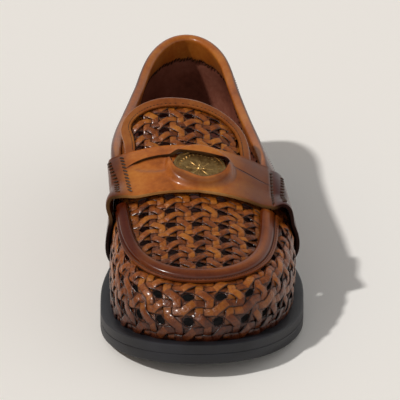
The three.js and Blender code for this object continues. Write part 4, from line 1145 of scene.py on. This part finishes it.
def slit_along(u, lip):
    """Where the front lip (2) or the rear lip (1) of the slit lies along the shoe."""
    x = beside_coin(u)
    past_end = np.where(x < slit[0, 0], slit[0, 1], slit[-1, 1])
    outside = (x <= slit[0, 0]) | (x >= slit[-1, 0])
    return strap_centre + coin_diameter * slit_reach * np.where(outside, past_end, read(slit, lip, x))


saddle = bmesh.new()
saddle_shade_and_wear = saddle.verts.layers.float.new("shade")
for at_front in (True, False):
    grid = bmesh.ops.create_grid(saddle, x_segments=190, y_segments=20, size=0.5)["verts"]
    spots = np.array([v.co[:2] for v in grid]) + 0.5
    u, v = spots[:, 0], spots[:, 1]
    # The front half runs from front edge to front lip, the rear half from rear lip to rear edge.
    front_lip, rear_lip = slit_along(u, 2), slit_along(u, 1)
    if at_front:
        along = strap_front + (front_lip - strap_front) * v
    else:
        along = rear_lip + (strap_rear - rear_lip) * v
    x = beside_coin(u)
    # The front lip is pressed in on the big-toe side of the coin, from the slit forward to a soft crease.
    lobe = ease(x, -1.27, -1.05) * (1 - ease(x, -0.64, -0.54))
    ahead = (along - strap_centre) / (slit_reach * coin_diameter) - read(crease, 1, x)
    pressed = 0.95 * lobe * (1 - ease(ahead, -0.07, 0.06)) if at_front else 0
    out = strap_thickness - pressed
    points = strap_place(u, along, out)[0]
    # Darker at both ends and in a ring just in front of the coin; painted shade beside the coin on the
    # little-toe side, which slopes away from the lamp; dark lips at the slit.
    far = np.linalg.norm(points - coin_top, axis=1)
    right, front, up = points[:, 0], -points[:, 1], points[:, 2]
    # The little-toe side is darkened as painted shade, since it slopes away from the lamp.
    dark = 0.85 * ease(-right, 34, 45) + 0.75 * ease(right, 4, 30) + 0.35 * ease(right, 34, 43)
    dark += 0.55 * ease(far, 10, 13) * (1 - ease(far, 15.5, 18.5)) * ease(front, 44, 50)
    at_lip = ease(v, 0.96, 1) if at_front else ease(-v, -0.05, 0)
    # Painted shade in the soft crease in front of the slit.
    if at_front:
        dark += 0.35 * lobe * np.exp(-((ahead / 0.035) ** 2))
    # The slit's lips get dark cut edges with a painted shadow under the rear lip; low on the sides is painted
    # shade.
    dark += 0.9 * at_lip * (np.abs(x) < 1.3) + 0.3 * ease(-up, -52, -40)
    for vert, point, value in zip(grid, points / 1000, np.clip(dark, 0, 1)):
        vert.co, vert[saddle_shade_and_wear] = point, value
bmesh.ops.remove_doubles(saddle, verts=saddle.verts, dist=2e-5)
bmesh.ops.recalc_face_normals(saddle, faces=saddle.faces)
if sum(f.normal.z * f.calc_area() for f in saddle.faces) < 0:
    bmesh.ops.reverse_faces(saddle, faces=saddle.faces)
saddle_piece = finish_piece("saddle_leather", saddle, tan_leather, 50, ("saddle_strap",))
saddle_piece.data.materials.append(edge_leather)
thick = saddle_piece.modifiers.new("thickness", "SOLIDIFY")
thick.thickness, thick.offset, thick.material_offset_rim = strap_thickness / 1000, -1, 1
rounded = saddle_piece.modifiers.new("rounded", "BEVEL")
rounded.width, rounded.segments = 0.0004, 2
rounded.limit_method, rounded.angle_limit = "ANGLE", math.radians(55)


# Back stay: a smooth strip of the same tan leather glued over the heel seam, narrowing from the sole up to
# the binding. Its long edges are thinned.
def lay_stay(u, v, w):
    half = (stay_foot_width + (stay_top_width - stay_foot_width) * v) / 2
    angle = angle_at_foot((2 * u - 1) * half)
    top = wall_lengths(angle)[:, -1] - binding_outside - 0.4
    thinned = 1 - 0.25 * np.abs(2 * u - 1) ** 8
    return wall_at(angle, 0.2 + (top - 0.2) * v, clearance + leather * w * thinned)[0]


stay = slab(12, 24, (), lay_stay)
darken(stay, lambda p: 0.2 + 0.5 * ease(-p[:, 2], -50, -30))
finish_piece("back_stay_leather", stay, tan_leather, 50, ("back_stay",))

# Saddle stitches: waxed dark thread, each stitch a small bead of thread sunk in the leather. Two rows of
# slanted stitches hold down each end of the saddle.
thread = leather_finish("dark_thread", "1e0f08 38200f 5a3418", grain=2600.0, rough=(0.35, 0.55), wax=0.2)
# Columns: across at the rear edge and at the front edge, and the stitches' slant.
saddle_rows = ((-38.5, -36.0, 0.7), (-43.5, -40.3, 1.1), (36.5, 36.0, -0.5), (42.5, 41.0, -0.9))


def sew(mesh, points, normals, seam, length, width, slant=0.0):
    """Beads of thread at points on a surface, each turned from the seam's way by its slant."""
    way = unit(np.gradient(seam, axis=0))
    for point, normal, ahead in zip(points, unit(normals), way):
        ahead = unit(ahead - normal * (ahead @ normal))
        aside = np.cross(normal, ahead)
        along = ahead * math.cos(slant) + aside * math.sin(slant)
        axes = (along * length / 2, np.cross(normal, along) * width / 2, normal * width / 2, point)
        bead = Matrix.Scale(0.001, 4) @ Matrix((*zip(*axes), (0, 0, 0, 1)))
        bmesh.ops.create_icosphere(mesh, subdivisions=1, radius=1.0, matrix=bead)


def strap_u(across):
    """Where along the strap a distance across the instep lies."""
    half = top_half(np.full_like(across, strap_centre))
    return wall_run + (1 - 2 * wall_run) * (across / half + 1) / 2


saddle_thread = bmesh.new()
for rear_across, front_across, slant in saddle_rows:
    along = np.linspace(strap_rear + 4, strap_front - 4, 11)
    across = np.interp(along, (strap_rear, strap_front), (rear_across, front_across))
    across = across + middle_across - float(top_centre(np.array(strap_centre)))
    points, normals = strap_place(strap_u(across), along, strap_thickness + 0.1)
    sew(saddle_thread, points, normals, points, 3.8, 1.35, slant)
finish_piece("saddle_stitches", saddle_thread, thread)

# Border stitches: the same thread in a fine, close row on the flange outside the roll, sewn through to the
# vamp from one side of the saddle round the toe to the other.
border_thread = bmesh.new()
turns = np.linspace(border_start + 0.02, math.tau - border_start - 0.02, 92)
points, normals = seam_frame(turns, 0 * turns - 3.5)
sew(border_thread, points + normals * 1.5, normals, points, 1.7, 0.6, 0.25)
finish_piece("border_stitches", border_thread, thread)

# Collar stitches: a fine row of the same thread on the outer flap, and slanted overcast stitches that hold
# the facing to the lining inside. They follow the facing's edge, which is cut a little uneven.
collar_thread = bmesh.new()
turns = np.linspace(-collar_end + 0.02, collar_end - 0.02, 150)
down, lift = 0 * turns + binding_outside - 1.3, 0 * turns + clearance + leather
points, normals = wall_frame(turns, down, lift, collar_end, strap_rear_foot)
sew(collar_thread, points, normals, points, 1.6, 0.5)
turns = np.linspace(-collar_end + 0.05, collar_end - 0.05, 74)
down, lift = binding_inside + 0.6 * np.sin(turns * 31), 0 * turns - wall - clearance - leather
points, normals = wall_frame(turns, down, lift, collar_end, strap_rear_foot)
sew(collar_thread, points, -normals, points, 3.6, 1.0, 1.0)
finish_piece("collar_stitches", collar_thread, thread)

# Tongue stitches: the same thread in a fine row along the inner edge of the tongue's binding, sewn through to
# its other side.
tongue_thread = bmesh.new()
share = np.linspace(0.04, 0.96, 66)
spot = beside_tongue_edge(share, 0 * share + tongue_binding_width - 1.1)
points = apron_point(spot[:, 0], spot[:, 1], clearance + leather)
sew(tongue_thread, points, apron_normal(spot[:, 0], spot[:, 1]), points, 1.4, 0.45)
finish_piece("tongue_stitches", tongue_thread, thread)

# Studio: a plain pale floor, a lamp from the upper left, pale light all round, and the camera at the
# photograph's angle.
floor_mesh = bmesh.new()
bmesh.ops.create_grid(floor_mesh, x_segments=8, y_segments=8, size=8)
floor_data = bpy.data.meshes.new("floor")
floor_mesh.to_mesh(floor_data)
floor_mesh.free()
floor = bpy.data.objects.new("floor", floor_data)
bpy.context.scene.collection.objects.link(floor)
paper, paper_tree, _ = new_finish("pale_floor")
close_finish(paper_tree, {"Base Color": dye("faf7f2"), "Roughness": 0.85, "Specular IOR Level": 0.2})
floor_data.materials.append(paper)

world = bpy.data.worlds.new("studio")
world.use_nodes = True
sky = world.node_tree
way = add(sky, "SeparateXYZ", {"Vector": add(sky, "TexCoord").outputs["Generated"]}).outputs
level, upper, zenith = (0.8, 0.79, 0.775, 1), (0.85, 0.84, 0.825, 1), (0.25, 0.25, 0.25, 1)
glow = ramp(sky, way["Z"], (0.0, level), (0.4, upper), (0.8, zenith))
# A brown card stands on the big-toe side and warms what that side reflects.
glow = mix(sky, stretch(sky, way["X"], -0.4, -0.8, 0.0, 0.9), glow, (0.26, 0.14, 0.065, 1))
sky.links.new(glow, sky.nodes["Background"].inputs["Color"])
sky.nodes["Background"].inputs["Strength"].default_value = 0.86
bpy.context.scene.world = world

lamp_data = bpy.data.lights.new("lamp", "SUN")
lamp_data.energy, lamp_data.angle, lamp_data.color = 1.95, math.radians(3.5), (1, 0.985, 0.96)
lamp = bpy.data.objects.new("lamp", lamp_data)
lamp.rotation_mode = "QUATERNION"
lamp.rotation_quaternion = Vector((0.76, 0.33, -1.0)).to_track_quat("-Z", "Y")
bpy.context.scene.collection.objects.link(lamp)

lens = bpy.data.cameras.new("camera")
lens.sensor_width, lens.lens, lens.clip_start, lens.clip_end = 36, 250, 0.05, 50
camera = bpy.data.objects.new("camera", lens)
camera.location = (-0.0535, -1.3735, 0.6229)
camera.rotation_mode = "QUATERNION"
# The camera looks along the shoe and down on it, and is tipped up by a hair.
ahead, down, tip = 0.9184, 0.3955, 0.0015
look = Vector((0.0369, ahead + tip * down, tip * ahead - down))
camera.rotation_quaternion = look.to_track_quat("-Z", "Y")
bpy.context.scene.collection.objects.link(camera)
bpy.context.scene.camera = camera
bpy.context.scene.view_settings.view_transform = "Standard"
